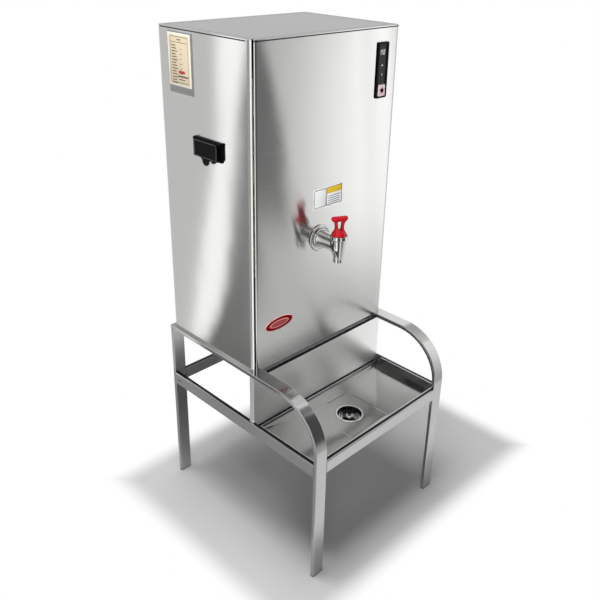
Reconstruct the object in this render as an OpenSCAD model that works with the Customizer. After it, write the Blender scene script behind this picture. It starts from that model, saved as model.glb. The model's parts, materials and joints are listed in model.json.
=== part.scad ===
// Hot water urn: a floor standing electric water boiler on its tube stand.
// Millimetres, +Z up. The origin is the middle of the stand's footprint on the floor,
// the front with the tap faces -Y.

/* [Stand] */
// Outer width across the two side frames
stand_w = 414; // [408:1:440]
// Outer depth from front leg face to rear leg face
stand_d = 470; // [450:1:500]
// Height of the rail tops above the floor
stand_h = 415; // [400:1:440]
// Wide side of the flat tube
tube_w = 30; // [28:1:34]
// Thin side of the flat tube
tube_t = 9; // [8:0.5:11]
// Wall of the flat tube
tube_wall = 1.2; // [1:0.1:1.5]
// Rounding on the tube's long edges
tube_r = 2; // [1.6:0.1:2.4]
// Outer radius of the front bend
bend_r = 110; // [90:1:115]
// Drop from the rail tops to the tops of the lower bars
bar_drop = 125; // [120:1:135]
// Height of the lower bars, which lie on edge
bar_h = 29; // [26:0.5:32]
// Thickness of the plastic pad under each leg
pad_t = 2; // [1.5:0.5:4]
// Height of the plug inside each leg
plug_h = 16; // [10:1:30]

/* [Cabinet] */
// Width of the cabinet
cab_w = 400; // [396:1:404]
// Depth of the cabinet
cab_d = 276; // [270:1:280]
// Height of the cabinet
cab_h = 656; // [650:1:700]
// Distance from the front leg face back to the cabinet front
cab_setback = 189; // [184:1:192]
// Thickness of the cabinet sheet
sheet_t = 1; // [0.8:0.1:1.2]
// Radius of the upright corners
corner_r = 12; // [10:0.5:14]
// Width of the flange round the top cover
rim_w = 13; // [12:0.5:16]
// Depth from the top face to the ledge that carries the cover
lip_h = 8; // [6:0.5:12]
// Width of the ledge that carries the cover
ledge_w = 8; // [6:0.5:12]
// Gap all round the top cover
cover_gap = 1.5; // [1:0.1:2]
// Turn of the front seam round the corner, from the side towards the front
seam_turn = 55; // [45:1:60]
// Width of the front seam
seam_gap = 2.9; // [2:0.1:3.5]
// Width of the side sheet's return on the back
rear_return = 18; // [14:1:30]
// Height of the base pan's upturned flange
pan_flange = 18; // [10:1:30]

/* [Splash panel and sink] */
// Distance the splash panel stands behind the cabinet front
splash_back = 2; // [1:0.5:3]
// Depth of the splash panel's side returns
splash_return = 13; // [10:1:20]
// Drop from the rail tops to the splash panel's bottom edge
splash_drop = 139.5; // [138:0.5:141]
// Drop from the rail tops to the sink rim
sink_drop = 142; // [141.5:0.5:145]
// Height of the sink's upright rim
sink_rim = 4; // [3:0.5:6]
// Fall from the foot of the rim to the flat round the drain
sink_fall = 7; // [4:0.5:7]
// Side of the flat square round the drain
flat_side = 120; // [100:1:140]
// Thickness of the sink sheet
sink_t = 1; // [0.8:0.1:1.2]
// Width of the sink's flange behind its back rim
sink_flange = 22; // [18:1:30]

/* [Drain] */
// Radius of the drain flange
drain_r = 31; // [29:0.5:36]
// Thickness of the drain flange
drain_lip = 1.2; // [1:0.1:2]
// Inner radius of the drain bowl
bowl_r = 24.5; // [23:0.5:26]
// Depth of the drain bowl
bowl_h = 22; // [20:1:30]
// Wall of the drain body
drain_wall = 2; // [1.6:0.1:2.5]
// Outer radius of the tailpiece
tail_r = 20; // [18:0.5:21]
// Length of the tailpiece below the bowl
tail_h = 32; // [25:1:45]
// Depth of the strainer basket
basket_h = 12; // [8:1:14]
// Radius of the strainer's holes
basket_hole_r = 2; // [1.5:0.1:2.2]

/* [Tap] */
// Distance of the tap from the middle plane, to the left
tap_side = 20; // [0:1:60]
// Height of the barrel's axis above the cabinet bottom
tap_rise = 250; // [248:1:260]
// Reach from the cabinet front to the spout axis
tap_reach = 54; // [50:1:62]
// Radius of the wall flange
flange_r = 28.5; // [26:0.5:32]
// Thickness of the flange's outer step
flange_t = 3; // [2:0.5:4]
// Radius of the flange's inner step
step_r = 20; // [18:0.5:22]
// Thickness of the flange over its inner step
step_t = 7; // [6:0.5:8]
// Radius of the barrel at the flange
barrel_r = 18.5; // [17:0.5:19]
// Radius the barrel narrows to at the spout's axis
barrel_end = 12.6; // [12:0.1:12.8]
// Radius of the threaded shank
shank_r = 10.4; // [10:0.1:10.6]
// Radius of the water way through the shank and spout
way_r = 5.5; // [5:0.1:5.8]
// Radius of the spout's tip
tip_r = 10; // [9:0.1:10.6]
// Drop of the spout's tip below the barrel's axis
tip_drop = 36; // [34:0.5:40]
// Radius of the tap body under the collar
neck_r = 15.8; // [15:0.1:16.2]
// Radius of the collar
collar_r = 18.2; // [17.6:0.1:18.8]
// Height of the collar
collar_h = 9; // [8:0.5:10]
// Height of the collar's bottom above the barrel's axis
collar_rise = 13; // [13:0.5:16]
// Radius of the valve stem
stem_r = 2.2; // [2:0.1:2.4]
// Rise of the stem when the tap is open
stem_lift = 2.5; // [1.5:0.1:2.5]
// Tilt of the handle when the tap is open, in degrees
handle_tilt = 25; // [15:1:25]
// Radius of the handle's ball shaped base
ball_r = 15.2; // [15:0.1:15.4]
// Height of the handle above its pivot
handle_h = 41; // [38:0.5:46]
// Width of the bar across the handle's top
handle_w = 35; // [32:0.5:38]
// Height of that bar
handle_bar = 10; // [9:0.5:12]
// Thickness of the handle, front to back
handle_t = 10; // [9:0.5:12]
// Width of the handle's waist
waist_w = 19; // [18:0.5:20]
// Width of the handle's slot at its top
slot_w = 11; // [9:0.5:11.5]
// Swivel of the handle at rest, its right end towards the front, in degrees
handle_turn = 28; // [0:1:45]

/* [Control strip] */
// Distance from the cabinet's right side to the strip's middle
strip_edge = 52.5; // [40:0.5:70]
// Width of the strip
strip_w = 33; // [30:0.5:36]
// Height of the strip
strip_h = 111.5; // [108:0.5:120]
// Drop from the cabinet top to the strip's top
strip_drop = 30; // [28:0.5:60]
// Distance the strip stands proud
strip_t = 3.5; // [2.5:0.1:5]
// Width of the strip's raised border
border_w = 5; // [4:0.5:6]
// Width of the push button
button_w = 20; // [18:0.5:21]
// Height of the push button
button_h = 23; // [20:0.5:26]
// Travel of the push button
button_travel = 1.5; // [1:0.1:2]
// Width of the display window
window_w = 17; // [14:0.5:20]
// Height of the display window
window_h = 13; // [10:0.5:16]
// Radius of a lamp lens
lamp_r = 1.7; // [1.2:0.1:2.5]

/* [Breaker] */
// Distance of the breaker's front end behind the cabinet front
breaker_back = 84; // [60:1:120]
// Height of the breaker's bottom above the cabinet bottom
breaker_rise = 424; // [380:1:460]
// Length of the breaker's frame
breaker_w = 80; // [68:1:90]
// Height of the breaker's frame
breaker_h = 38; // [36:1:44]
// Thickness of the breaker's frame on the panel
frame_t = 3; // [3:0.5:5]
// Depth of the breaker's box behind the panel
box_depth = 27; // [20:1:28]
// Distance the flip cover stands proud of the frame
flip_t = 7; // [6.5:0.5:10]
// Wall of the flip cover
flip_wall = 1.4; // [1.2:0.1:1.8]
// Radius of the hinge pin
hinge_r = 1; // [0.9:0.1:1.1]
// Width of the pull tab at its root
tab_w = 30; // [26:1:36]
// Radius of the pull tab's round end
tab_r = 10; // [8:0.5:11]
// Drop of the pull tab below the cover
tab_drop = 14; // [12:0.5:18]

/* [Labels] */
// Width of the plate on the left side
plate_w = 70; // [60:1:80]
// Height of the plate on the left side
plate_h = 98; // [80:1:105]
// Drop from the cabinet top to the plate
plate_drop = 10; // [8:1:20]
// Distance of the plate's front edge behind the cabinet front
plate_back = 170; // [165:1:176]
// Thickness of the plate and of the blank sticker
plate_t = 0.4; // [0.3:0.1:0.6]
// Width of the blank sticker
sticker_w = 85; // [70:1:90]
// Height of the blank sticker
sticker_h = 43; // [38:1:48]
// Height of the sticker's bottom above the cabinet bottom
sticker_rise = 313; // [306:1:330]
// Length of the oval badge
badge_w = 78; // [60:1:84]
// Height of the oval badge
badge_h = 19; // [16:0.5:24]
// Thickness of the badge
badge_t = 1.2; // [0.8:0.1:2]
// Distance from the cabinet's left side to the badge's middle
badge_edge = 68; // [60:1:80]
// Height of the badge's middle above the cabinet bottom
badge_rise = 92; // [80:1:120]

/* [Tank and fittings] */
// Room between the insulation and the cabinet's sides
side_room = 32; // [31:1:45]
// Room between the insulation and the cabinet's front and back
wall_room = 25; // [24:1:32]
// Room between the insulation and the top of the cabinet
top_room = 73; // [50:1:90]
// Height of the tank's bottom above the cabinet bottom
tank_rise = 205; // [200:1:208]
// Wall of the water tank
tank_t = 1; // [0.8:0.1:1.5]
// Radius of the tank's upright corners
tank_r = 25; // [15:1:35]
// Thickness of the insulation round the tank
foam_t = 18; // [15:1:19]
// Radius of the heater flange
heater_r = 40; // [36:1:44]
// Height of the heating tubes inside the tank
heater_h = 140; // [100:1:200]
// Radius of a heating tube
rod_r = 4; // [3:0.1:4.5]
// Outer radius of the vent and drain pipes
pipe_r = 6; // [5:0.1:7]
// Width of the control box
box_w = 120; // [100:1:130]
// Length of the control box, front to back
box_l = 110; // [90:1:120]
// Height of the control box
box_h = 62; // [50:1:70]
// Bend radius of the pipes
elbow_r = 12; // [11:0.5:14]
// Radius of the water inlet's thread
inlet_r = 10.4; // [9:0.1:11]
// Distance the fittings stand out at the back
stub = 10; // [8:0.5:12]
// Radius of the cable gland's bore
gland_bore = 4.5; // [3.5:0.1:5]

/* [Fits] */
// Clearance round a piece that slides or turns
running = 0.05; // [0.03:0.01:0.08]
// Clearance between pieces that move past each other
loose = 0.3; // [0.25:0.05:0.4]
// Clearance in a panel hole
hole_gap = 0.2; // [0.1:0.05:0.3]

/* [Hidden] */
$fn = 64;

steel = [0.78, 0.78, 0.77];
dark_steel = [0.5, 0.5, 0.5];
black = [0.06, 0.06, 0.065];
red = [0.75, 0.03, 0.06];

// ---- Stand ----
front_y = -stand_d / 2;
rear_y = stand_d / 2;
rail_x = stand_w / 2 - tube_w / 2;      // middle of a rail and leg
rail_z = stand_h - tube_t;              // underside of a rail
bar_top = stand_h - bar_drop;
bar_bottom = bar_top - bar_h;
bend_y = front_y + bend_r;
bend_z = stand_h - bend_r;
bar_in_x = stand_w / 2 - tube_t;        // inner faces of the side bars
bar_in_y = front_y + tube_t;            // inner face of the front bar
gap_x = stand_w - 2 * tube_w;           // clear width between the legs
gap_y = stand_d - 2 * tube_t;           // clear depth between the legs

// ---- Cabinet ----
cab_y0 = front_y + cab_setback;
cab_y1 = cab_y0 + cab_d;
cab_yc = (cab_y0 + cab_y1) / 2;
cab_z0 = stand_h;
cab_z1 = cab_z0 + cab_h;
corner_x = cab_w / 2 - corner_r;        // centres of the upright corners
corner_y = cab_y0 + corner_r;
rear_half = corner_x - rear_return;     // half width of the rear panel
zone = 5 * corner_r;                    // reach of the outlines that part the panels
strap_w = 14;                           // width of the strap behind the rear seam
rear_seam = 0.3;
inner_r = 1;                            // least radius of an inner corner
pan_gap = 0.05;                         // between the base pan and the panels

// ---- Splash panel and sink ----
splash_y = cab_y0 + splash_back;
splash_z = stand_h - splash_drop;
sink_z = stand_h - sink_drop;           // top of the sink's rim
sink_foot = sink_z - sink_rim;          // sheet's top at the foot of the rim
flat_z = sink_foot - sink_fall;         // sheet's top round the drain
sink_y0 = bar_in_y;
sink_y1 = splash_y - sink_t - 1;        // back face of the back rim
sink_yc = (sink_y0 + sink_y1) / 2;
sink_x = bar_in_x;
splash_low_x = sink_x - 0.5;            // half width of the splash between the bars

// ---- Drain ----
hole_r = bowl_r + drain_wall + hole_gap;
bowl_z = flat_z - bowl_h;
seat_z = flat_z - 8;                    // ledge that carries the strainer
seat_r = bowl_r - 1.5;
tail_z = bowl_z - tail_h;
basket_r = seat_r - loose;
basket_t = 1;
basket_rim = bowl_r - loose;
knob_r = 4;
nut_t = 5;

// ---- Tap ----
tap_x = -tap_side;
tap_z = cab_z0 + tap_rise;
spout_y = cab_y0 - tap_reach;
tip_z = tap_z - tip_drop;
collar_z = tap_z + collar_rise;
collar_top = collar_z + collar_h;
pivot_z = collar_top - 1;
cup_r = ball_r + 0.5;
cup_z = pivot_z - 6.4;                  // floor of the cup under the ball
seat_top = tap_z - 15;                  // valve seat
chamber_r = 8.2;
thread_r = 11;
eye_r = 3.4;                            // stem's eye
eye_t = 6;
pin_r = 1.5;
pin_l = 22;
cup_h = 6;                              // seat cup
cup_out = chamber_r - 0.8;
spring_r = 6.1;
wire_r = 0.6;
spring_turns = 5;
spring_spare = 5.3;                     // room left in the squeezed spring
spring_z0 = seat_top + cup_h + 1.2;
// top of the chamber and spring, foot of the bonnet thread
chamber_z = spring_z0 + 2 * wire_r * spring_turns + spring_spare + stem_lift;
flange_y = cab_y0 - step_t;             // front of the wall flange
shank_end = cab_y0 + 34;
nut_y = 7;                              // thickness of the lock nut

// ---- Control strip ----
strip_side = cab_w / 2 - strip_edge;    // middle of the strip
strip_z1 = cab_z1 - strip_drop;
strip_z0 = strip_z1 - strip_h;
face_y = cab_y0 - strip_t + 1;          // sunk face inside the border
strip_rear = cab_y0 + 8;
hidden_edge = 2;                        // panel cover under the strip's edge
button_z = strip_z0 + border_w - 1 + button_h / 2;
window_z = strip_z1 - 20;
lamp_z1 = window_z - 26;
lamp_z2 = lamp_z1 - 18;

// ---- Breaker ----
side_x = -cab_w / 2;                    // face of the left side
breaker_y0 = cab_y0 + breaker_back;
breaker_yc = breaker_y0 + breaker_w / 2;
breaker_z0 = cab_z0 + breaker_rise;
breaker_z1 = breaker_z0 + breaker_h;
breaker_zc = (breaker_z0 + breaker_z1) / 2;
frame_x = side_x - frame_t;             // face of the frame
hinge_x = frame_x - 2.3;
hinge_z = breaker_z1 - 3;
knuckle_r = 2;
flip_x = frame_x - flip_t;              // face of the flip cover
flip_w = breaker_w - 8;
flip_z0 = breaker_z0 + 2;
switch_x = side_x - 1;                  // face of the switch
lever_x = side_x + 6;
lever_w = 9;
paddle_w = 7.6;
tab_t = 2.4;

// ---- Labels ----
sticker_x = 2;

// ---- Tank ----
tank_w = cab_w - 2 * (side_room + foam_t);
tank_d = cab_d - 2 * (wall_room + foam_t);
tank_h = cab_h - tank_rise - foam_t - top_room;
tank_yc = cab_yc;
tank_z0 = cab_z0 + tank_rise;
tank_z1 = tank_z0 + tank_h;
foam_gap = 0.2;
foam_z0 = tank_z0 - foam_t;
foam_z1 = tank_z1 + foam_t;
boss_r = shank_r + 4.6;
boss_y = cab_y0 + 12;                   // front of the tank's outlet boss
tank_y0 = tank_yc - tank_d / 2;
floor_z = cab_z0 + sheet_t;             // top of the base pan
stand_x = tank_w / 2 - 10;
stand_fold = 16;
stand_sheet = 2;
vent_x = 50 - tank_w / 2;
vent_top = foam_z1 + 14;
vent_y = cab_y1 - sheet_t - pipe_r - 7;
vent_z = cab_z0 + 55;
cock_x = tank_w / 2 - 90;
cock_y = tank_yc + tank_d / 2 - 40;
cock_rise = 93;
cock_z = cab_z0 + cock_rise;
cock_collar = [40, 15];                 // collar's ends, in from the cabinet's back
hose_x = tank_w / 2 - 30;
hose_y = cock_y;
barb_y = cab_y1 - 30;
hose_r = pipe_r + 1;
inlet_lip = 2;
inlet_z = cab_z0 + 42;
hose_rise = 100;
hose_z = inlet_z + hose_rise;
gland_x = vent_x + 50;
gland_z = inlet_z;
gland_r = 9;
probe_x = tank_w / 2 - 60;
probe_l = [120, 180, 240];              // lengths of the level rods
probe_r = 13;                           // radius of the level probe's head
temp_x = vent_x + 40;
box_t = 3;                              // wall of the control box
box_x = stand_sheet - stand_x + stand_fold; // left end of the control box

// ---- Shared shapes ----

// Rectangle with round corners, centred
module rrect(w, d, r) {
  square([w - 2 * r, d], center = true);
  square([w, d - 2 * r], center = true);
  for (x = [-1, 1], y = [-1, 1])
    translate([x * (w / 2 - r), y * (d / 2 - r)]) circle(r);
}

// Section of the flat tube, thin side along X, shrunk by inset
module tube_section(inset = 0) {
  rrect(tube_t - 2 * inset, tube_w - 2 * inset, max(tube_r - inset, 0.4));
}

// Section of a lower bar, thin side along X
module bar_section(inset = 0) {
  rrect(tube_t - 2 * inset, bar_h - 2 * inset, max(tube_r - inset, 0.4));
}

// Turns a drawing in the side plane, X back and Y up, into place
module side_plane() {
  rotate([90, 0, 90]) children();
}

// Solid of revolution about an axis along Y, profile's Y towards the back
module turned_y() {
  rotate([-90, 0, 0]) children();
}

// Upright cylinder between two heights
module post(x, y, r, z0, z1) {
  translate([x, y, z0]) cylinder(r = r, h = z1 - z0);
}

// Cylinder along Y between two depths
module bolt_y(x, z, r, y0, y1) {
  translate([x, y0, z]) rotate([-90, 0, 0]) cylinder(r = r, h = y1 - y0);
}

// Cylinder along X between two places
module bolt_x(y, z, r, x0, x1) {
  translate([x0, y, z]) rotate([0, 90, 0]) cylinder(r = r, h = x1 - x0);
}

// Box between two corners
module block(a, b) {
  translate(a) cube(b - a);
}

// Quarter bend of a pipe in the local XY plane, from +X round to +Y
module elbow(r) {
  rotate_extrude(angle = 90) translate([elbow_r, 0]) circle(r);
}

// ---- Stand ----

// Front leg, bend and rail in the side plane, shrunk by inset
module bent_tube(inset, z0, y1) {
  translate([bend_y, bend_z, 0]) rotate([0, 0, 90])
    rotate_extrude(angle = 90) translate([bend_r - tube_t / 2, 0]) tube_section(inset);
  translate([front_y + tube_t / 2, z0, 0]) rotate([-90, 0, 0])
    linear_extrude(bend_z - z0) tube_section(inset);
  translate([bend_y, stand_h - tube_t / 2, 0]) rotate([90, 0, 90])
    linear_extrude(y1 - bend_y) tube_section(inset);
}

module leg_rail(side) {
  color(steel) translate([side * rail_x, 0, 0]) side_plane() difference() {
    bent_tube(0, pad_t, rear_y);
    bent_tube(tube_wall, pad_t - 1, rear_y - tube_wall);
    translate([front_y + tube_t / 2, pad_t - 1, 0]) rotate([-90, 0, 0])
      linear_extrude(2) tube_section(tube_wall);
  }
}

module rear_leg(side) {
  color(steel) translate([side * rail_x, rear_y - tube_t / 2, 0]) difference() {
    translate([0, 0, pad_t]) linear_extrude(rail_z - pad_t) rotate(90) tube_section();
    translate([0, 0, pad_t - 1]) linear_extrude(rail_z - pad_t + 1 - tube_wall)
      rotate(90) tube_section(tube_wall);
  }
}

module foot(x, y) {
  color(black) translate([x, y, 0]) {
    linear_extrude(pad_t) rotate(90) tube_section();
    linear_extrude(pad_t + plug_h) rotate(90) tube_section(tube_wall + running);
  }
}

module side_bar(side) {
  color(steel) translate([side * (stand_w / 2 - tube_t / 2), 0, bar_bottom + bar_h / 2])
    rotate([-90, 0, 0]) translate([0, 0, -gap_y / 2]) linear_extrude(gap_y) difference() {
      bar_section();
      bar_section(tube_wall);
    }
}

module cross_bar(y) {
  color(steel) translate([0, y, bar_bottom + bar_h / 2])
    rotate([90, 0, 90]) translate([0, 0, -gap_x / 2]) linear_extrude(gap_x) difference() {
      bar_section();
      bar_section(tube_wall);
    }
}

// ---- Splash panel and sink ----

module splash_panel() {
  top_z = rail_z;
  fold_y = splash_y + splash_return;
  color(steel) {
    // main sheet, stepped in where it drops between the side bars
    block([-cab_w / 2, splash_y, bar_top + loose], [cab_w / 2, splash_y + sheet_t, top_z]);
    block([-splash_low_x, splash_y, splash_z],
          [splash_low_x, splash_y + sheet_t, bar_top + loose]);
    for (s = [-1, 1]) {
      // side returns, down to the bars and down to the sink's flange
      translate([s * (cab_w / 2 - sheet_t / 2), 0, 0])
        block([-sheet_t / 2, splash_y, bar_top + loose], [sheet_t / 2, fold_y, top_z]);
      translate([s * (splash_low_x - sheet_t / 2), 0, 0])
        block([-sheet_t / 2, splash_y, sink_foot],
              [sheet_t / 2, fold_y, bar_top + loose + sheet_t]);
      translate([s * (cab_w / 2 - splash_low_x), 0, 0])
        block([s * splash_low_x - (cab_w / 2 - splash_low_x), splash_y, bar_top + loose],
              [s * splash_low_x + (cab_w / 2 - splash_low_x), fold_y,
               bar_top + loose + sheet_t]);
    }
    // top fold that is welded under the rails
    block([-cab_w / 2, splash_y, top_z - sheet_t], [cab_w / 2, fold_y, top_z]);
  }
}

// Sheet that falls from the rim's foot to the flat round the drain
module sink_sheet() {
  h = flat_side / 2;
  outer = [[-sink_x, sink_y0], [sink_x, sink_y0], [sink_x, sink_y1], [-sink_x, sink_y1]];
  inner = [[-h, sink_yc - h], [h, sink_yc - h], [h, sink_yc + h], [-h, sink_yc + h]];
  pts = concat(
    [for (p = outer) [p[0], p[1], sink_foot]], [for (p = inner) [p[0], p[1], flat_z]],
    [for (p = outer) [p[0], p[1], sink_foot - sink_t]],
    [for (p = inner) [p[0], p[1], flat_z - sink_t]]);
  slopes = [for (i = [0:3]) [i, i + 4, (i + 1) % 4 + 4, (i + 1) % 4]];
  under = [for (i = [0:3]) [i + 8, (i + 1) % 4 + 8, (i + 1) % 4 + 12, i + 12]];
  edges = [for (i = [0:3]) [i, (i + 1) % 4, (i + 1) % 4 + 8, i + 8]];
  polyhedron(pts, concat(slopes, [[7, 6, 5, 4]], under, [[12, 13, 14, 15]], edges));
}

module sink_tray() {
  low = sink_foot - sink_t;
  color(steel) difference() {
    union() {
      sink_sheet();
      block([-sink_x, sink_y0, low], [sink_x, sink_y0 + sink_t, sink_z]);
      block([-sink_x, sink_y1 - sink_t, low], [sink_x, sink_y1, sink_z]);
      for (s = [-1, 1])
        translate([s * (sink_x - sink_t / 2), 0, 0])
          block([-sink_t / 2, sink_y0, low], [sink_t / 2, sink_y1, sink_z]);
      block([-sink_x, sink_y1 - sink_t, low], [sink_x, sink_y1 + sink_flange, sink_foot]);
    }
    post(0, sink_yc, hole_r, flat_z - 10, flat_z + 10);
  }
}

module drain_body() {
  out = bowl_r + drain_wall;
  color(steel) translate([0, sink_yc, 0]) rotate_extrude() polygon([
    [drain_r, flat_z], [drain_r, flat_z + drain_lip * 0.5], [drain_r - 1, flat_z + drain_lip],
    [bowl_r + 3, flat_z + drain_lip], [bowl_r, flat_z - 3], [bowl_r, seat_z],
    [seat_r, seat_z], [seat_r, bowl_z], [tail_r - drain_wall, bowl_z],
    [tail_r - drain_wall, tail_z], [tail_r, tail_z], [tail_r, bowl_z - drain_wall],
    [out, bowl_z - drain_wall], [out, flat_z]
  ]);
}

module drain_nut() {
  z1 = flat_z - sink_t;
  color(dark_steel) difference() {
    translate([0, sink_yc, z1 - nut_t]) cylinder(r = drain_r + 2, h = nut_t, $fn = 8);
    post(0, sink_yc, bowl_r + drain_wall + running, z1 - nut_t - 1, z1 + 1);
  }
}

module strainer() {
  floor_top = seat_z - basket_h;
  rim_z = seat_z + running;
  color(dark_steel) translate([0, sink_yc, 0]) difference() {
    union() {
      rotate_extrude() polygon([
        [0, floor_top - basket_t], [basket_r, floor_top - basket_t], [basket_r, rim_z],
        [basket_rim, rim_z], [basket_rim, rim_z + basket_t],
        [basket_r - basket_t, rim_z + basket_t], [basket_r - basket_t, floor_top],
        [0, floor_top]
      ]);
      translate([0, 0, floor_top - basket_t]) cylinder(r = knob_r, h = basket_h);
    }
    for (ring = [0, 1], i = [0:7 + 4 * ring])
      rotate(i * 360 / (8 + 4 * ring) + 11) translate([9 + 7 * ring, 0, floor_top - 3])
        cylinder(r = basket_hole_r, h = 6);
  }
}

// ---- Cabinet ----

// Outline of the cabinet, shrunk by inset
module plan(inset = 0) {
  translate([0, cab_yc])
    rrect(cab_w - 2 * inset, cab_d - 2 * inset, max(corner_r - inset, inner_r));
}

module plan_ring(a, b) {
  difference() {
    plan(a);
    plan(b);
  }
}

// A point out past a front corner, along the front seam
function seam_point(side) = [side * (corner_x + zone * cos(seam_turn)),
                             corner_y - zone * sin(seam_turn)];
// A point inside the cabinet, along the mitre of the top flanges
function mitre_point(side) = [side * (corner_x - zone), corner_y + zone];

module front_zone() {
  polygon([seam_point(-1), [-corner_x, corner_y], mitre_point(-1),
           mitre_point(1), [corner_x, corner_y], seam_point(1)]);
}

module side_zone(s) {
  out = s * (corner_x + zone);
  polygon([seam_point(s), [s * corner_x, corner_y], mitre_point(s),
           [s * rear_half, cab_yc], [s * rear_half, cab_y1 + zone], [out, cab_y1 + zone],
           [out, corner_y - zone * sin(seam_turn)]]);
}

module rear_zone() {
  translate([0, cab_y1]) square([2 * (rear_half - rear_seam), 2 * zone], center = true);
}

// Strips taken out along the front seams
module seams() {
  for (s = [-1, 1]) translate([s * corner_x, corner_y]) {
    rotate(s > 0 ? -seam_turn : 180 + seam_turn) translate([0, -seam_gap / 2])
      square([zone, seam_gap]);
    rotate(s > 0 ? 135 : 45) translate([-1, -rear_seam]) square([zone, 2 * rear_seam]);
  }
}

// One panel's share of the shell, with its flange, lip and ledge round the top
module shell_part() {
  module ring(a, b, z0, z1) {
    translate([0, 0, z0]) linear_extrude(z1 - z0) difference() {
      intersection() {
        plan_ring(a, b);
        children();
      }
      seams();
    }
  }
  ring(0, sheet_t, cab_z0, cab_z1) children();
  ring(0, rim_w, cab_z1 - sheet_t, cab_z1) children();
  ring(rim_w - sheet_t, rim_w, cab_z1 - lip_h - sheet_t, cab_z1) children();
  ring(rim_w - sheet_t, rim_w + ledge_w, cab_z1 - lip_h - sheet_t, cab_z1 - lip_h) children();
}

module side_panel(s) {
  color(steel) {
    shell_part() side_zone(s);
    // strap behind the rear seam
    translate([s * (rear_half + 1), 0, 0])
      block([-strap_w / 2, cab_y1 - 2 * sheet_t, cab_z0 + 25],
            [strap_w / 2, cab_y1 - sheet_t, cab_z1 - rim_w - 12]);
  }
}

module side_left() {
  difference() {
    side_panel(-1);
    block([side_x - 1, breaker_y0 + 3 - hole_gap, breaker_z0 + 2 - hole_gap],
          [side_x + 3, breaker_y0 + breaker_w - 3 + hole_gap, breaker_z1 - 2 + hole_gap]);
  }
}

module front_panel() {
  difference() {
    color(steel) shell_part() front_zone();
    bolt_y(tap_x, tap_z, shank_r + hole_gap, cab_y0 - 1, cab_y0 + 3);
    block([strip_side - strip_w / 2 + hidden_edge - hole_gap, cab_y0 - 1,
           strip_z0 + hidden_edge - hole_gap],
          [strip_side + strip_w / 2 - hidden_edge + hole_gap, cab_y0 + 3,
           strip_z1 - hidden_edge + hole_gap]);
  }
}

module rear_panel() {
  y1 = cab_y1;
  screw_x = rear_half - 7;
  color(steel) difference() {
    union() {
      shell_part() rear_zone();
      for (x = [-screw_x, screw_x], z = [60, cab_h / 2, cab_h - 60])
        bolt_y(x, cab_z0 + z, 3.5, y1 - sheet_t / 2, y1 + 1.6);
    }
    bolt_y(vent_x, vent_z, pipe_r + hole_gap, y1 - 3, y1 + 3);
    bolt_y(cock_x, cock_z, pipe_r + hole_gap, y1 - 3, y1 + 3);
    bolt_y(hose_x, inlet_z, inlet_r + hole_gap, y1 - 3, y1 + 3);
    bolt_y(gland_x, gland_z, gland_r - 2 + hole_gap, y1 - 3, y1 + 3);
    for (i = [0:5])
      block([-50, y1 - 3, cab_z0 + 130 + 10 * i], [50, y1 + 3, cab_z0 + 134 + 10 * i]);
  }
}

module base_pan() {
  in = sheet_t + pan_gap;
  color(steel) translate([0, 0, cab_z0]) {
    linear_extrude(sheet_t) plan(in);
    linear_extrude(pan_flange) plan_ring(in, in + sheet_t);
  }
}

module top_cover() {
  in = rim_w + cover_gap;
  color(steel) {
    translate([0, 0, cab_z1 - sheet_t]) linear_extrude(sheet_t) plan(in);
    translate([0, 0, cab_z1 - lip_h + running]) linear_extrude(lip_h - running)
      plan_ring(in, in + sheet_t);
  }
}

// ---- Tank and fittings ----

module tank_plan(grow) {
  translate([0, tank_yc]) rrect(tank_w + 2 * grow, tank_d + 2 * grow, tank_r + grow);
}

module tank_stand() {
  z1 = foam_z0;
  y0 = tank_yc - tank_d / 2;
  y1 = tank_yc + tank_d / 2 - 25;
  color(dark_steel) for (s = [-1, 1]) translate([s * stand_x, 0, 0]) {
    block([-stand_sheet / 2, y0, floor_z], [stand_sheet / 2, y1, z1]);
    for (z = [floor_z, z1 - stand_sheet])
      translate([s * stand_fold / 2, 0, 0])
        block([-stand_fold / 2, y0, z], [stand_fold / 2, y1, z + stand_sheet]);
  }
}

// Places where pipes and probes pass the tank's bottom: x, y, radius
bungs = [[cock_x, cock_y, pipe_r], [hose_x, hose_y, pipe_r], [temp_x, cock_y, 8]];

module inner_tank() {
  color(steel) difference() {
    union() {
      translate([0, 0, tank_z0]) linear_extrude(tank_h) tank_plan(0);
      bolt_y(tap_x, tap_z, boss_r, boss_y, tank_y0 + 1);
    }
    translate([0, 0, tank_z0 + tank_t]) linear_extrude(tank_h - 2 * tank_t)
      tank_plan(-tank_t);
    bolt_y(tap_x, tap_z, shank_r + running, boss_y - 1, tank_y0 + 3);
    post(0, tank_yc, heater_r - 8, tank_z0 - 1, tank_z0 + 3);
    post(probe_x, tank_yc, probe_r - 3, tank_z1 - 3, tank_z1 + 1);
    post(vent_x, tank_yc, pipe_r - 1, tank_z1 - 3, tank_z1 + 1);
    for (b = bungs) post(b[0], b[1], min(b[2], pipe_r) - 1, tank_z0 - 1, tank_z0 + 3);
  }
}

module insulation() {
  color([0.85, 0.8, 0.6]) difference() {
    translate([0, 0, foam_z0]) linear_extrude(foam_z1 - foam_z0) tank_plan(foam_t);
    translate([0, 0, tank_z0]) linear_extrude(tank_h) tank_plan(foam_gap);
    bolt_y(tap_x, tap_z, boss_r + 1, boss_y - 30, tank_y0 + 1);
    post(0, tank_yc, heater_r + 1, foam_z0 - 1, tank_z0 + 1);
    post(probe_x, tank_yc, probe_r + 2, tank_z1 - 1, foam_z1 + 1);
    post(vent_x, tank_yc, pipe_r + 1, tank_z1 - 1, foam_z1 + 1);
    for (b = bungs) post(b[0], b[1], b[2] + 2, foam_z0 - 1, tank_z0 + 1);
  }
}

rod_gap = 14;
heater_t = 5;

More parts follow.
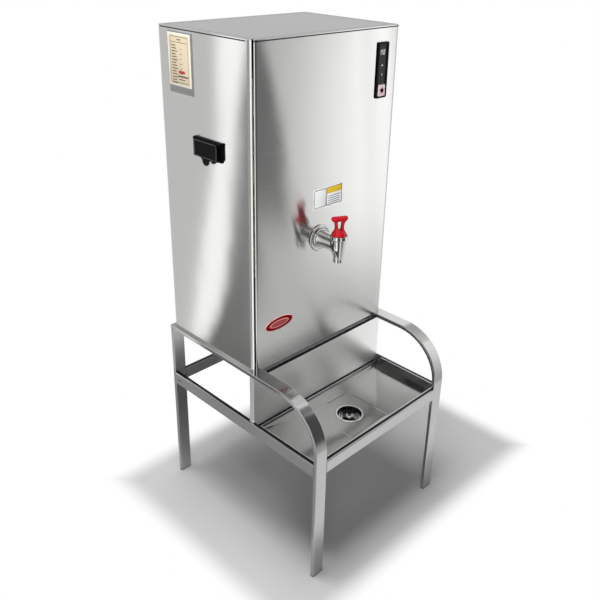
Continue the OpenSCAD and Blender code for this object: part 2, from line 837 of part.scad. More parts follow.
module heater_flange() {
  color(dark_steel) difference() {
    post(0, tank_yc, heater_r, tank_z0 - heater_t, tank_z0);
    for (x = [-rod_gap, rod_gap], y = [-elbow_r, elbow_r])
      post(x, tank_yc + y, rod_r + running, tank_z0 - heater_t - 1, tank_z0 + 1);
  }
}

module heating_element() {
  top = tank_z0 + heater_h;
  color(dark_steel) for (x = [-rod_gap, rod_gap]) translate([x, tank_yc, 0]) {
    for (y = [-elbow_r, elbow_r]) {
      post(0, y, rod_r, tank_z0 - heater_t - 2, top);
      post(0, y, 1.5, tank_z0 - heater_t - 12, tank_z0 - heater_t - 1);
    }
    translate([0, 0, top]) rotate([90, 0, 90]) rotate_extrude(angle = 180)
      translate([elbow_r, 0]) circle(rod_r);
  }
}

module level_probe() {
  color(dark_steel) {
    post(probe_x, tank_yc, probe_r, tank_z1, tank_z1 + 9);
    post(probe_x, tank_yc, probe_r - 3 - running, tank_z1 - tank_t, tank_z1 + 1);
    for (i = [0:2])
      post(probe_x + 5 * cos(120 * i), tank_yc + 5 * sin(120 * i), 1.5,
           tank_z1 - probe_l[i], tank_z1);
  }
}

module temp_probe() {
  color(dark_steel) {
    translate([temp_x, cock_y, tank_z0 - 10]) cylinder(r = 8, h = 10, $fn = 6);
    post(temp_x, cock_y, 3, tank_z0 - 1, tank_z0 + 60);
  }
}

// Vent: up from the tank, back over the insulation, down and out at the back
module vent_pipe() {
  r = pipe_r;
  e = elbow_r;
  color(steel) difference() {
    union() {
      post(vent_x, tank_yc, r, tank_z1, vent_top - e);
      translate([vent_x, tank_yc + e, vent_top - e]) side_plane() rotate([0, 0, 90]) elbow(r);
      bolt_y(vent_x, vent_top, r, tank_yc + e, vent_y - e);
      translate([vent_x, vent_y - e, vent_top - e]) side_plane() elbow(r);
      post(vent_x, vent_y, r, vent_z + e, vent_top - e);
      translate([vent_x, vent_y + e, vent_z + e]) side_plane() rotate([0, 0, 180]) elbow(r);
      bolt_y(vent_x, vent_z, r, vent_y + e, cab_y1 + stub);
    }
    bolt_y(vent_x, vent_z, r - 1, vent_y + e + 2, cab_y1 + stub + 1);
    post(vent_x, tank_yc, r - 1, tank_z1 - 1, tank_z1 + 10);
  }
}

module drain_cock() {
  r = pipe_r;
  e = elbow_r;
  color(steel) {
    post(cock_x, cock_y, r, cock_z + e, tank_z0);
    translate([cock_x, cock_y + e, cock_z + e]) side_plane() rotate([0, 0, 180]) elbow(r);
    bolt_y(cock_x, cock_z, r, cock_y + e, cab_y1 + 1);
    bolt_y(cock_x, cock_z, r + 3, cab_y1 - cock_collar[0], cab_y1 - cock_collar[1]);
    translate([cock_x, cab_y1, cock_z]) turned_y() cylinder(r = r + 4, h = stub - 2, $fn = 6);
  }
}

module inlet_valve() {
  color([0.75, 0.75, 0.72]) {
    bolt_y(hose_x, inlet_z, inlet_r, cab_y1 - sheet_t - 1, cab_y1 + stub);
    bolt_y(hose_x, inlet_z, inlet_r + 3, cab_y1, cab_y1 + inlet_lip);
    bolt_y(hose_x, inlet_z, inlet_r + 3, barb_y - 12, cab_y1 - sheet_t);
    post(hose_x, barb_y, pipe_r - 1, inlet_z, inlet_z + 40);
  }
}

module valve_coil() {
  y1 = barb_y - 12;
  color(black) block([hose_x - 15, y1 - 30, inlet_z - 16], [hose_x + 15, y1, inlet_z + 16]);
}

// Hose from the valve's barb to the tank's bottom
module fill_hose() {
  r = hose_r;
  e = elbow_r;
  color([0.8, 0.8, 0.82]) difference() {
    union() {
      post(hose_x, barb_y, r, inlet_z + inlet_r + 4, hose_z - e);
      translate([hose_x, barb_y - e, hose_z - e]) side_plane() elbow(r);
      bolt_y(hose_x, hose_z, r, hose_y + e, barb_y - e);
      translate([hose_x, hose_y + e, hose_z + e]) side_plane() rotate([0, 0, 180]) elbow(r);
      post(hose_x, hose_y, r, hose_z + e, tank_z0);
    }
    post(hose_x, barb_y, pipe_r - 1 + running, inlet_z, inlet_z + 41);
  }
}

module control_box() {
  y0 = tank_yc - box_l / 2;
  vent_slot = 4;
  color([0.3, 0.32, 0.3]) difference() {
    translate([box_x, y0, floor_z]) cube([box_w, box_l, box_h]);
    translate([box_x + box_t, y0 + box_t, floor_z + box_t])
      cube([box_w - 2 * box_t, box_l - 2 * box_t, box_h - 2 * box_t]);
    // cooling slots
    for (i = [1:7])
      translate([box_x + i * box_w / 8 - vent_slot / 2, y0 - box_t, floor_z + box_h / 3])
        cube([vent_slot, 3 * box_t, box_h / 3]);
  }
}

module cable_gland() {
  y1 = cab_y1;
  color(black) difference() {
    union() {
      translate([gland_x, y1, gland_z]) turned_y() cylinder(r = gland_r, h = 4, $fn = 6);
      bolt_y(gland_x, gland_z, gland_r - 1.5, y1 + 3, y1 + stub);
      bolt_y(gland_x, gland_z, gland_r - 2, y1 - 14, y1 + 1);
      translate([gland_x, y1 - sheet_t - 5, gland_z]) turned_y()
        cylinder(r = gland_r + 1, h = 5, $fn = 6);
    }
    bolt_y(gland_x, gland_z, gland_bore, y1 - 15, y1 + stub + 1);
  }
}

// ---- Tap ----

module tap_flange() {
  color(steel) translate([tap_x, cab_y0, tap_z]) rotate([90, 0, 0]) rotate_extrude()
    polygon([[shank_r + running, 0], [flange_r, 0], [flange_r, flange_t - 1],
             [flange_r - 1, flange_t], [step_r + 1.5, flange_t + 0.6],
             [step_r, step_t - 1], [step_r - 1, step_t], [shank_r + running, step_t]]);
}

module tap_body() {
  slope = (neck_r - tip_r) / (collar_z - tip_z - 8);
  color(steel) difference() {
    union() {
      // spout and valve chamber
      translate([tap_x, spout_y, 0]) rotate_extrude() polygon([
        [0, tip_z], [tip_r - 0.6, tip_z], [tip_r, tip_z + 0.6], [tip_r, tip_z + 6],
        [tip_r - 0.5, tip_z + 6.5], [tip_r - 0.5, tip_z + 7.5],
        [tip_r + 8 * slope, tip_z + 8], [neck_r, collar_z - 4], [neck_r, collar_z],
        [0, collar_z]
      ]);
      // barrel
      translate([tap_x, flange_y, tap_z]) rotate([90, 0, 0])
        cylinder(r1 = barrel_r, r2 = barrel_end, h = flange_y - spout_y);
      // threaded shank
      bolt_y(tap_x, tap_z, shank_r, flange_y - 1, shank_end);
    }
    post(tap_x, spout_y, way_r, tip_z - 1, seat_top + 1);
    post(tap_x, spout_y, chamber_r, seat_top, chamber_z + 1);
    post(tap_x, spout_y, thread_r + running, chamber_z, collar_z + 1);
    // flat seat for the collar, sunk into the barrel's top
    post(tap_x, spout_y, collar_r + loose, collar_z, collar_top);
    bolt_y(tap_x, tap_z, way_r, spout_y, shank_end + 1);
  }
}

module tap_collar() {
  color(steel) translate([tap_x, spout_y, 0]) difference() {
    rotate_extrude() polygon([
      [stem_r + running, chamber_z], [thread_r, chamber_z], [thread_r, collar_z],
      [collar_r - 1, collar_z], [collar_r, collar_z + 1], [collar_r, collar_top - 0.8],
      [collar_r - 0.6, collar_top], [cup_r, collar_top], [cup_r, cup_z + 1],
      [cup_r - 1, cup_z], [stem_r + running, cup_z]
    ]);
  }
}

under_z = -6;                           // underside of the base, from the pivot
neck_top = 15;                          // height of the waist above the pivot
slot_z0 = 11;
bar_low = handle_h - handle_bar;
bar_r = 4;

// Half outline of the blade, X out and Y up, from the pivot
function blade_side() = [
  [ball_r - 2.2, 5], [waist_w / 2 + 1.2, 10], [waist_w / 2, neck_top],
  [waist_w / 2 + 1.5, bar_low - 6], [waist_w / 2 + 4, bar_low], [waist_w / 2 + 4, bar_low + 4]
];

module handle_blade() {
  side = blade_side();
  n = len(side);
  rotate([90, 0, 0]) translate([0, 0, -handle_t / 2]) linear_extrude(handle_t)
    difference() {
      union() {
        polygon(concat(side, [for (i = [n - 1:-1:0]) [-side[i][0], side[i][1]]]));
        translate([0, handle_h - handle_bar / 2]) rrect(handle_w, handle_bar, bar_r);
      }
      polygon([[-slot_w / 2, bar_low], [slot_w / 2, bar_low],
               [slot_w / 2 - 2.2, slot_z0], [-slot_w / 2 + 2.2, slot_z0]]);
    }
}

module handle_base() {
  dome = [for (a = [-8:8:64]) [ball_r * cos(a), ball_r * sin(a)]];
  rotate_extrude() polygon(concat([[0, under_z], [4, under_z]], dome, [[0, ball_r * sin(64)]]));
}

module tap_handle() {
  room = eye_r + loose - under_z * tan(handle_tilt);
  color(red) translate([tap_x, spout_y, pivot_z]) rotate(-handle_turn) difference() {
    union() {
      handle_base();
      handle_blade();
    }
    // room for the stem's eye while the handle tilts
    block([-eye_t / 2 - loose, -room, under_z - 1], [eye_t / 2 + loose, room, eye_r + 1.2]);
    bolt_x(0, 0, pin_r, -pin_l / 2, pin_l / 2);
  }
}

module tap_pin() {
  color(dark_steel) translate([tap_x, spout_y, 0]) rotate(-handle_turn)
    bolt_x(0, pivot_z, pin_r, -pin_l / 2, pin_l / 2);
}

module tap_stem() {
  color(dark_steel) translate([tap_x, spout_y, 0]) rotate(-handle_turn) difference() {
    union() {
      post(0, 0, stem_r, seat_top + cup_h - 3, pivot_z);
      translate([-eye_t / 2, 0, pivot_z]) rotate([0, 90, 0]) cylinder(r = eye_r, h = eye_t);
      post(0, 0, cup_out - 1, seat_top + cup_h + running, spring_z0);
    }
    bolt_x(0, pivot_z, pin_r + running, -eye_t, eye_t);
  }
}

module seat_cup() {
  color([0.9, 0.9, 0.88]) translate([tap_x, spout_y, 0]) difference() {
    post(0, 0, cup_out, seat_top + running, seat_top + cup_h);
    post(0, 0, stem_r + running, seat_top + cup_h - 3 - running, seat_top + cup_h + 1);
  }
}

// Closing spring, one swept wire
module tap_spring() {
  steps = 20 * spring_turns;
  sides = 6;
  z0 = spring_z0 + wire_r + running;
  rise = chamber_z - spring_z0 - 2 * wire_r - 2 * running;
  pts = [for (i = [0:steps], j = [0:sides - 1])
    let (a = 18 * i, b = 60 * j, r = spring_r + wire_r * cos(b))
      [r * cos(a), r * sin(a), z0 + rise * i / steps + wire_r * sin(b)]];
  skin = [for (i = [0:steps - 1], j = [0:sides - 1])
    let (k = i * sides, m = (j + 1) % sides)
      [k + j, k + sides + j, k + sides + m, k + m]];
  color(dark_steel) translate([tap_x, spout_y, 0])
    polyhedron(pts, concat([[for (j = [0:sides - 1]) j]], skin,
                           [[for (j = [sides - 1:-1:0]) steps * sides + j]]));
}

module tap_nut() {
  y = cab_y0 + sheet_t;
  color(dark_steel) difference() {
    translate([tap_x, y, tap_z]) turned_y() cylinder(r = shank_r + 6, h = nut_y, $fn = 6);
    bolt_y(tap_x, tap_z, shank_r + running, y - 1, y + nut_y + 1);
  }
}

// ---- Control strip ----

module strip_bezel() {
  x0 = strip_side - strip_w / 2;
  x1 = strip_side + strip_w / 2;
  color(black) difference() {
    union() {
      block([x0, cab_y0 - strip_t, strip_z0], [x1, cab_y0, strip_z1]);
      block([x0 + hidden_edge, cab_y0 - 1, strip_z0 + hidden_edge],
            [x1 - hidden_edge, strip_rear, strip_z1 - hidden_edge]);
    }
    // sunk face inside the border
    block([x0 + border_w, cab_y0 - strip_t - 1, strip_z0 + border_w],
          [x1 - border_w, face_y, strip_z1 - border_w]);
    // button's shaft and its flange room
    block([strip_side - button_w / 2 - loose, cab_y0 - strip_t - 1, button_z - button_h / 2 - loose],
          [strip_side + button_w / 2 + loose, strip_rear + 1, button_z + button_h / 2 + loose]);
    // seats of the window and the lamps
    block([strip_side - window_w / 2, face_y - 1, window_z - window_h / 2],
          [strip_side + window_w / 2, face_y + 1.5, window_z + window_h / 2]);
    for (z = [lamp_z1, lamp_z2]) bolt_y(strip_side, z, lamp_r, face_y - 1, face_y + 3);
  }
}

module display_window() {
  color([0.55, 0.6, 0.6])
    block([strip_side - window_w / 2 + running, face_y + 0.1, window_z - window_h / 2 + running],
          [strip_side + window_w / 2 - running, face_y + 1.5, window_z + window_h / 2 - running]);
}

module lamp(z) {
  color("white") translate([strip_side, 0, z]) {
    bolt_y(0, 0, lamp_r - running, face_y - 0.2, face_y + 3);
  }
}

module control_button() {
  color([0.92, 0.88, 0.88])
    block([strip_side - button_w / 2, cab_y0 - strip_t - 0.8, button_z - button_h / 2],
          [strip_side + button_w / 2, strip_rear - button_travel, button_z + button_h / 2]);
}

// ---- Breaker ----

module breaker_housing() {
  y0 = breaker_y0;
  y1 = breaker_y0 + breaker_w;
  back = side_x + box_depth;
  ear = (breaker_w - flip_w) / 2 - 1;
  color(black) difference() {
    union() {
      block([frame_x, y0, breaker_z0], [side_x, y1, breaker_z1]);
      block([side_x - 1, y0 + 3, breaker_z0 + 2], [back, y1 - 3, breaker_z1 - 2]);
      // ears that hold the hinge pin
      for (y = [y0, y1 - ear]) {
        block([hinge_x, y, hinge_z - 2.5], [side_x, y + ear, breaker_z1]);
        translate([hinge_x, y, hinge_z]) rotate([-90, 0, 0]) cylinder(r = 2.5, h = ear);
      }
    }
    // pocket for the switch
    block([frame_x - 1, y0 + 6, breaker_z0 + 5], [back - 2, y1 - 6, breaker_z1 - 5]);
    bolt_pin(hinge_r, y0 + 1);
  }
}

module bolt_pin(r, y) {
  translate([hinge_x, y, hinge_z]) rotate([-90, 0, 0])
    cylinder(r = r, h = 2 * (breaker_yc - y));
}

module cover_pin() {
  color(dark_steel) bolt_pin(hinge_r, breaker_y0 + 1);
}

module breaker_switch() {
  y0 = breaker_y0 + 6 + running;
  y1 = breaker_y0 + breaker_w - 6 - running;
  color([0.2, 0.2, 0.21]) difference() {
    block([switch_x, y0, breaker_z0 + 5 + running],
          [side_x + box_depth - 2, y1, breaker_z1 - 5 - running]);
    // slot the lever moves in
    block([switch_x - 1, breaker_yc - lever_w / 2 - loose, breaker_zc - 10],
          [side_x + 14, breaker_yc + lever_w / 2 + loose, breaker_zc + 10]);
    bolt_lever(1.5 + running, lever_w / 2 + 3);
  }
}

module bolt_lever(r, half) {
  translate([lever_x, breaker_yc - half, breaker_zc]) rotate([-90, 0, 0])
    cylinder(r = r, h = 2 * half);
}

module breaker_lever() {
  color([0.1, 0.1, 0.1]) {
    bolt_lever(6, lever_w / 2);
    bolt_lever(1.5, lever_w / 2 + 2.8);
    translate([lever_x, breaker_yc, breaker_zc]) rotate([0, 22, 0])
      block([-12, -paddle_w / 2, -1.8], [-2, paddle_w / 2, 1.8]);
  }
}

module breaker_cover() {
  y0 = breaker_yc - flip_w / 2;
  y1 = breaker_yc + flip_w / 2;
  back = frame_x - loose;
  color([0.16, 0.16, 0.17, 0.6]) difference() {
    union() {
      block([flip_x, y0, flip_z0], [back, y1, hinge_z]);
      bolt_hinge(knuckle_r, flip_w / 2);
      // pull tab under the cover's lower edge
      translate([flip_x, breaker_yc, flip_z0]) rotate([90, 0, 90]) linear_extrude(tab_t) {
        polygon([[-tab_w / 2, 1], [tab_w / 2, 1], [tab_w / 2, 0],
                 [tab_r, -(tab_drop - tab_r)], [-tab_r, -(tab_drop - tab_r)], [-tab_w / 2, 0]]);
        translate([0, -(tab_drop - tab_r)]) circle(tab_r);
      }
    }
    // hollow over the switch
    block([flip_x + flip_wall, y0 + flip_wall, flip_z0 + flip_wall],
          [frame_x + 1, y1 - flip_wall, hinge_z - 2 * knuckle_r + 0.5]);
    bolt_hinge(hinge_r + running, flip_w / 2 + 1);
  }
}

module bolt_hinge(r, half) {
  translate([hinge_x, breaker_yc - half, hinge_z]) rotate([-90, 0, 0])
    cylinder(r = r, h = 2 * half);
}

// ---- Labels ----

module label_plate() {
  y0 = cab_y0 + plate_back;
  z1 = cab_z1 - plate_drop;
  color([0.9, 0.8, 0.62])
    block([side_x - plate_t, y0, z1 - plate_h], [side_x, y0 + plate_w, z1]);
}

module blank_sticker() {
  z0 = cab_z0 + sticker_rise;
  color([0.93, 0.92, 0.9])
    block([sticker_x - sticker_w / 2, cab_y0 - plate_t, z0],
          [sticker_x + sticker_w / 2, cab_y0, z0 + sticker_h]);
}

module badge() {
  n = 72;
  outline = [for (i = [0:n - 1]) [badge_w / 2 * cos(360 * i / n), badge_h / 2 * sin(360 * i / n)]];
  color(red) translate([badge_edge - cab_w / 2, cab_y0, cab_z0 + badge_rise]) rotate([90, 0, 0])
    linear_extrude(badge_t) polygon(outline);
}

leg_rail(-1);  // leg_rail_left
leg_rail(1);  // leg_rail_right
rear_leg(-1);  // rear_leg_left
rear_leg(1);  // rear_leg_right
side_bar(-1);  // bar_left
side_bar(1);  // bar_right
cross_bar(front_y + tube_t / 2);  // bar_front
cross_bar(rear_y - tube_t / 2);  // bar_rear
foot(-rail_x, front_y + tube_t / 2);  // foot_front_left
foot(rail_x, front_y + tube_t / 2);  // foot_front_right
foot(-rail_x, rear_y - tube_t / 2);  // foot_rear_left
foot(rail_x, rear_y - tube_t / 2);  // foot_rear_right
splash_panel();
sink_tray();
drain_body();
drain_nut();
strainer();
side_left();
side_panel(1);  // side_right
front_panel();
rear_panel();
base_pan();
top_cover();
tank_stand();
inner_tank();
insulation();
heater_flange();
heating_element();
level_probe();
temp_probe();
vent_pipe();
inlet_valve();
valve_coil();
fill_hose();
drain_cock();
control_box();
cable_gland();
tap_flange();
tap_body();
tap_collar();
tap_handle();
tap_pin();
tap_stem();
seat_cup();
tap_spring();
tap_nut();
strip_bezel();
display_window();
lamp(lamp_z1);  // led_upper
lamp(lamp_z2);  // led_lower
control_button();
breaker_housing();
breaker_switch();
breaker_lever();
breaker_cover();
cover_pin();
label_plate();
blank_sticker();
badge();
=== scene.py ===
"""Looks of the hot water urn: softened sheet edges, brushed steel and a plain studio."""

import json
import math

import bmesh
import bpy
import numpy as np
from mathutils import Matrix, Vector


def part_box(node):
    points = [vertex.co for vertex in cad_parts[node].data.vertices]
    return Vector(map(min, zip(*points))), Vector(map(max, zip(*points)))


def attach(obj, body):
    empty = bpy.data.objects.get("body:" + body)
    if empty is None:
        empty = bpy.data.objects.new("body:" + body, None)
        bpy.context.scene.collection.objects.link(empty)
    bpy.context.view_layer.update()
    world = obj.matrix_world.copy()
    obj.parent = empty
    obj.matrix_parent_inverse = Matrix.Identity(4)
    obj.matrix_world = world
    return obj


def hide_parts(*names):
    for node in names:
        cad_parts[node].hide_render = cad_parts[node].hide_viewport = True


bl_info = {
    "name": "Hot Water Urn Looks",
    "version": (1, 0, 0),
    "blender": (4, 5, 0),
    "location": "View3D > Sidebar > Urn",
    "description": "Finishes and fine shapes for the hot water urn",
    "category": "Object",
}

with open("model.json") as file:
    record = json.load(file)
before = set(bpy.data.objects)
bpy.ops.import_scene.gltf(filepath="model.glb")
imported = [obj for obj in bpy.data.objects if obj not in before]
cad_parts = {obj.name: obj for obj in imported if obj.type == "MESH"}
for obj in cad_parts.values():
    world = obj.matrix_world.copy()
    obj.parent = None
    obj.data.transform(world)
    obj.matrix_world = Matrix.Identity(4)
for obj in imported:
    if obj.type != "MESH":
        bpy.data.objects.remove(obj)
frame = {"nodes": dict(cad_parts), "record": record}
MM = 0.001
# the round light tent: its axis and radius, in metres
TENT_X, TENT_Y, TENT_R = 0.0, 0.09, 0.85


# ---------------------------------------------------------------- materials


def surface(name):
    """A new material with its node tree and its shader."""
    mat = bpy.data.materials.new(name)
    mat.use_nodes = True
    return mat, mat.node_tree, mat.node_tree.nodes["Principled BSDF"]


def fill(made, values):
    """Sets inputs of a node, by name or by place in the row."""
    for key, value in values.items():
        made.inputs[key].default_value = value


def node(tree, kind, inputs=None, **settings):
    """A new node with its settings and the values of its inputs."""
    made = tree.nodes.new(kind)
    for key, value in settings.items():
        setattr(made, key, value)
    fill(made, inputs or {})
    return made


def wire(source, out, target, into):
    """Links an output of one node to an input of another."""
    source.id_data.links.new(source.outputs[out], target.inputs[into])


def uneven(noise, shader, low, high):
    """Lets a noise carry the shader's roughness from low to high."""
    spread = node(shader.id_data, "ShaderNodeMapRange", {"To Min": low, "To Max": high})
    wire(noise, "Fac", spread, "Value")
    wire(spread, "Result", shader, "Roughness")


def plain(name, colour, roughness, metallic=0.0, coat=0.0, specular=0.5):
    """A finish with a faint unevenness in its gloss."""
    mat, tree, shader = surface(name)
    fill(shader, {"Base Color": (*colour, 1), "Metallic": metallic, "Coat Weight": coat,
                  "Coat Roughness": 0.05, "Specular IOR Level": specular})
    swing, least = 0.04, 0.02
    geometry = node(tree, "ShaderNodeNewGeometry")
    noise = node(tree, "ShaderNodeTexNoise", {"Scale": 140.0, "Detail": 3.0})
    wire(geometry, "Position", noise, "Vector")
    uneven(noise, shader, max(roughness - swing, least), roughness + swing)
    return mat


def brushed(name, steel, colour=None, roughness=None, stretch=None, wave=1.0):
    """Sheet steel: reflections stretched upright, faint level grain, slow waves.

    What isn't given comes from the steel settings; wave multiplies their wave height.
    """
    mat, tree, shader = surface(name)
    rough = steel.roughness if roughness is None else roughness
    fill(shader, {"Base Color": (*(colour or steel.colour), 1), "Metallic": 1.0,
                  "Anisotropic": steel.stretch if stretch is None else stretch})
    geometry = node(tree, "ShaderNodeNewGeometry")
    # direction of the stretch: straight up, laid into the surface
    upright = (0.0, 0.02, 1.0)
    side = node(tree, "ShaderNodeVectorMath", {0: upright}, operation="CROSS_PRODUCT")
    along = node(tree, "ShaderNodeVectorMath", operation="CROSS_PRODUCT")
    unit = node(tree, "ShaderNodeVectorMath", operation="NORMALIZE")
    wire(geometry, "True Normal", side, 1)
    wire(geometry, "True Normal", along, 0)
    wire(side, 0, along, 1)
    wire(along, 0, unit, 0)
    wire(unit, 0, shader, "Tangent")
    # grain: fine level lines in the roughness
    grain = 0.25
    place = node(tree, "ShaderNodeMapping", {"Scale": (6.0, 6.0, 900.0)})
    lines = node(tree, "ShaderNodeTexNoise", {"Scale": 1.0, "Detail": 2.0})
    wire(geometry, "Position", place, "Vector")
    wire(place, "Vector", lines, "Vector")
    uneven(lines, shader, rough * (1 - grain), rough * (1 + grain))
    # slow waves of the sheet
    slow = node(tree, "ShaderNodeTexNoise", {"Scale": 7.0, "Detail": 1.5})
    bump = node(tree, "ShaderNodeBump", {"Strength": 1.0, "Distance": steel.wave * MM * wave})
    wire(geometry, "Position", slow, "Vector")
    wire(slow, "Fac", bump, "Height")
    wire(bump, "Normal", shader, "Normal")
    return mat


# ---------------------------------------------------------------- shapes


def add_piece(name, mesh, material, body, slot, *nodes):
    """Puts a mesh in the scene on its body, in place of the named CAD nodes."""
    piece = bpy.data.objects.new(name, mesh)
    bpy.context.scene.collection.objects.link(piece)
    mesh.materials.append(material)
    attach(piece, body)
    if nodes:
        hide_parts(*nodes)
    return piece


def size_of(name):
    """Lowest corner, highest corner and middle of a CAD node in millimetres."""
    low, high = (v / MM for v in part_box(name))
    return low, high, (low + high) / 2


def paint(name, material):
    """A finish for a CAD node that keeps its own shape."""
    mesh = frame["nodes"][name].data
    for i in range(len(mesh.materials)):
        mesh.materials[i] = material
    if not mesh.materials:
        mesh.materials.append(material)


def smooth(mesh, angle=30.0):
    """Smooth shading, with edges sharper than the angle kept crisp."""
    mesh.shade_smooth()
    mesh.set_sharp_from_angle(angle=math.radians(angle))


def finished(work, name, angle=30.0):
    """Smoothly shaded mesh of a bmesh, which is freed."""
    mesh = bpy.data.meshes.new(name)
    work.to_mesh(mesh)
    work.free()
    smooth(mesh, angle)
    return mesh


def ease(work, lines, radius, steps=2):
    """Rounds edges of a bmesh by a radius in millimetres."""
    bmesh.ops.bevel(
        work, geom=lines, offset=radius * MM, offset_type="OFFSET", segments=steps,
        profile=0.5, affect="EDGES", clamp_overlap=True,
    )


def edges_of(work, ring):
    """Edges of a bmesh that run between vertices of a ring."""
    ring = set(ring)
    return [e for e in work.edges if e.verts[0] in ring and e.verts[1] in ring]


def body_of(name):
    """Name of the body that carries a CAD node."""
    for body, members in frame["record"]["behaviour"]["bodies"].items():
        if name in members:
            return body
    raise RuntimeError(f"{name} is on no body")


def eased_copy(name, material, slot, edge=0.4, angle=30.0, steps=2):
    """A copy of a CAD node, on its body, with edges sharper than the angle softened.

    A modifier keeps the shading of its large faces flat beside the rounded edges.
    """
    work = bmesh.new()
    work.from_mesh(frame["nodes"][name].data)
    bmesh.ops.remove_doubles(work, verts=work.verts, dist=1e-6)
    bmesh.ops.dissolve_limit(
        work, angle_limit=math.radians(0.5), verts=work.verts, edges=work.edges,
        delimit={"NORMAL"},
    )
    bmesh.ops.recalc_face_normals(work, faces=work.faces)
    least = math.radians(angle)
    ease(work, [e for e in work.edges
                if len(e.link_faces) == 2 and e.calc_face_angle(0.0) > least], edge, steps)
    mesh = finished(work, "look_" + name)
    piece = add_piece("look_" + name, mesh, material, body_of(name), slot, name)
    even = piece.modifiers.new("flat faces", "WEIGHTED_NORMAL")
    even.mode = "FACE_AREA"
    even.weight = 100
    even.keep_sharp = True


def moulded(name, field, low, high, step=0.6):
    """Mesh of the surface where the field is zero, inside a box. All in millimetres.

    field takes arrays of X, Y and Z and is negative inside the shape. The box is cut into
    cells of one step; each cell that the surface crosses gets one point.
    """
    counts = [int(math.ceil((b - a) / step)) + 1 for a, b in zip(low, high)]
    axes = [low[i] + step * np.arange(counts[i]) for i in range(3)]
    values = field(*np.meshgrid(*axes, indexing="ij"))
    inside = values < 0
    corners = [(i, j, k) for i in (0, 1) for j in (0, 1) for k in (0, 1)]
    cells = [n - 1 for n in counts]

    def part(array, offset):
        """Values at one corner of every cell."""
        return array[tuple(slice(o, o + n) for o, n in zip(offset, cells))]

    total = sum(part(inside, c).astype(int) for c in corners)
    mixed = (total > 0) & (total < 8)
    index = -np.ones(cells, int)
    index[mixed] = np.arange(mixed.sum())
    sums = np.zeros((mixed.sum(), 3))
    hits = np.zeros(mixed.sum())
    for a in corners:
        for axis in range(3):
            if a[axis]:
                continue
            b = tuple(1 if i == axis else a[i] for i in range(3))
            va, vb = part(values, a)[mixed], part(values, b)[mixed]
            cross = (va < 0) != (vb < 0)
            share = np.where(cross, va / np.where(cross, va - vb, 1.0), 0.0)
            place = np.array(a, float) + np.outer(share, np.eye(3)[axis])
            sums += place * cross[:, None]
            hits += cross
    cell = np.argwhere(mixed)
    points = np.array(low) + step * (cell + sums / hits[:, None])
    # pull each point onto the surface
    nudge, pull, rounds, flattest = step * 0.2, 0.8, 3, 1e-4
    for _ in range(rounds):
        value = field(*points.T)
        slope = np.stack([
            (field(*(points + nudge * np.eye(3)[i]).T)
             - field(*(points - nudge * np.eye(3)[i]).T)) / (2 * nudge) for i in range(3)
        ], axis=1)
        size = np.maximum((slope ** 2).sum(axis=1), flattest)
        points -= np.clip(value / size, -step, step)[:, None] * slope * pull
    # a face across each grid edge whose ends lie on two sides of the surface
    faces = []
    for axis in range(3):
        one, two = (axis + 1) % 3, (axis + 2) % 3
        first = tuple(slice(1, n - 1) if i != axis else slice(0, n - 1)
                      for i, n in enumerate(counts))
        after = tuple(slice(1, n - 1) if i != axis else slice(1, n)
                      for i, n in enumerate(counts))
        start, end = inside[first], inside[after]
        for at in np.argwhere(start != end):
            spot = at + 1
            spot[axis] = at[axis]
            loop = []
            for da, db in ((-1, -1), (0, -1), (0, 0), (-1, 0)):
                c = spot.copy()
                c[one] += da
                c[two] += db
                loop.append(int(index[tuple(c)]))
            faces.append(loop if start[tuple(at)] else loop[::-1])
    mesh = bpy.data.meshes.new(name)
    mesh.from_pydata((points * MM).tolist(), [], faces)
    smooth(mesh, 40.0)
    return mesh


def blended(a, b, k):
    """Union of two fields with a fillet about k wide."""
    h = np.clip(0.5 + 0.5 * (b - a) / k, 0, 1)
    return b + (a - b) * h - k * h * (1 - h)


def carved(a, b, k):
    """Field a with field b taken out, its rim rounded by k."""
    return -blended(-a, b, k)


def soft_box(x, y, z, half, r):
    """Field of a box with rounded edges round the origin."""
    d = [np.abs(v) - (h - r) for v, h in zip((x, y, z), half)]
    out = np.sqrt(sum(np.maximum(v, 0) ** 2 for v in d))
    return out + np.minimum(np.maximum(np.maximum(d[0], d[1]), d[2]), 0) - r


def facing(side, x, y, z):
    """Placer for flat and turned pieces on one side of the urn.

    It turns (across, up, out) millimetres from a point into a place in metres.
    """
    at = {
        "front": lambda u, v, out: (x + u, y - out, z + v),
        "left": lambda u, v, out: (x - out, y - u, z + v),
        "right": lambda u, v, out: (x + out, y + u, z + v),
        "top": lambda u, v, out: (x + u, y + v, z + out),
    }[side]
    return lambda u, v, out: tuple(c * MM for c in at(u, v, out))


def shifted(place, across, up, out=0.0):
    """The same placer, from a point moved across, up and out."""
    return lambda u, v, w: place(u + across, v + up, w + out)


def bridged(rings, closed=False, caps=False):
    """A bmesh skinned over rings of points in metres, and its vertices ring by ring.

    closed joins the last ring to the first; caps fills the first and the last.
    """
    work = bmesh.new()
    rows = [[work.verts.new(p) for p in ring] for ring in rings]
    for a, b in zip(rows, rows[1:] + (rows[:1] if closed else [])):
        for i in range(len(a)):
            k = (i + 1) % len(a)
            work.faces.new((a[i], a[k], b[k], b[i]))
    if caps:
        work.faces.new(rows[0][::-1])
        work.faces.new(rows[-1])
    bmesh.ops.remove_doubles(work, verts=work.verts, dist=1e-6)
    bmesh.ops.recalc_face_normals(work, faces=work.faces)
    return work, rows


def oval(half_w, half_h, steps):
    """Outline of an oval, centred, counter-clockwise."""
    turns = [2 * math.pi * i / steps for i in range(steps)]
    return [(half_w * math.cos(a), half_h * math.sin(a)) for a in turns]


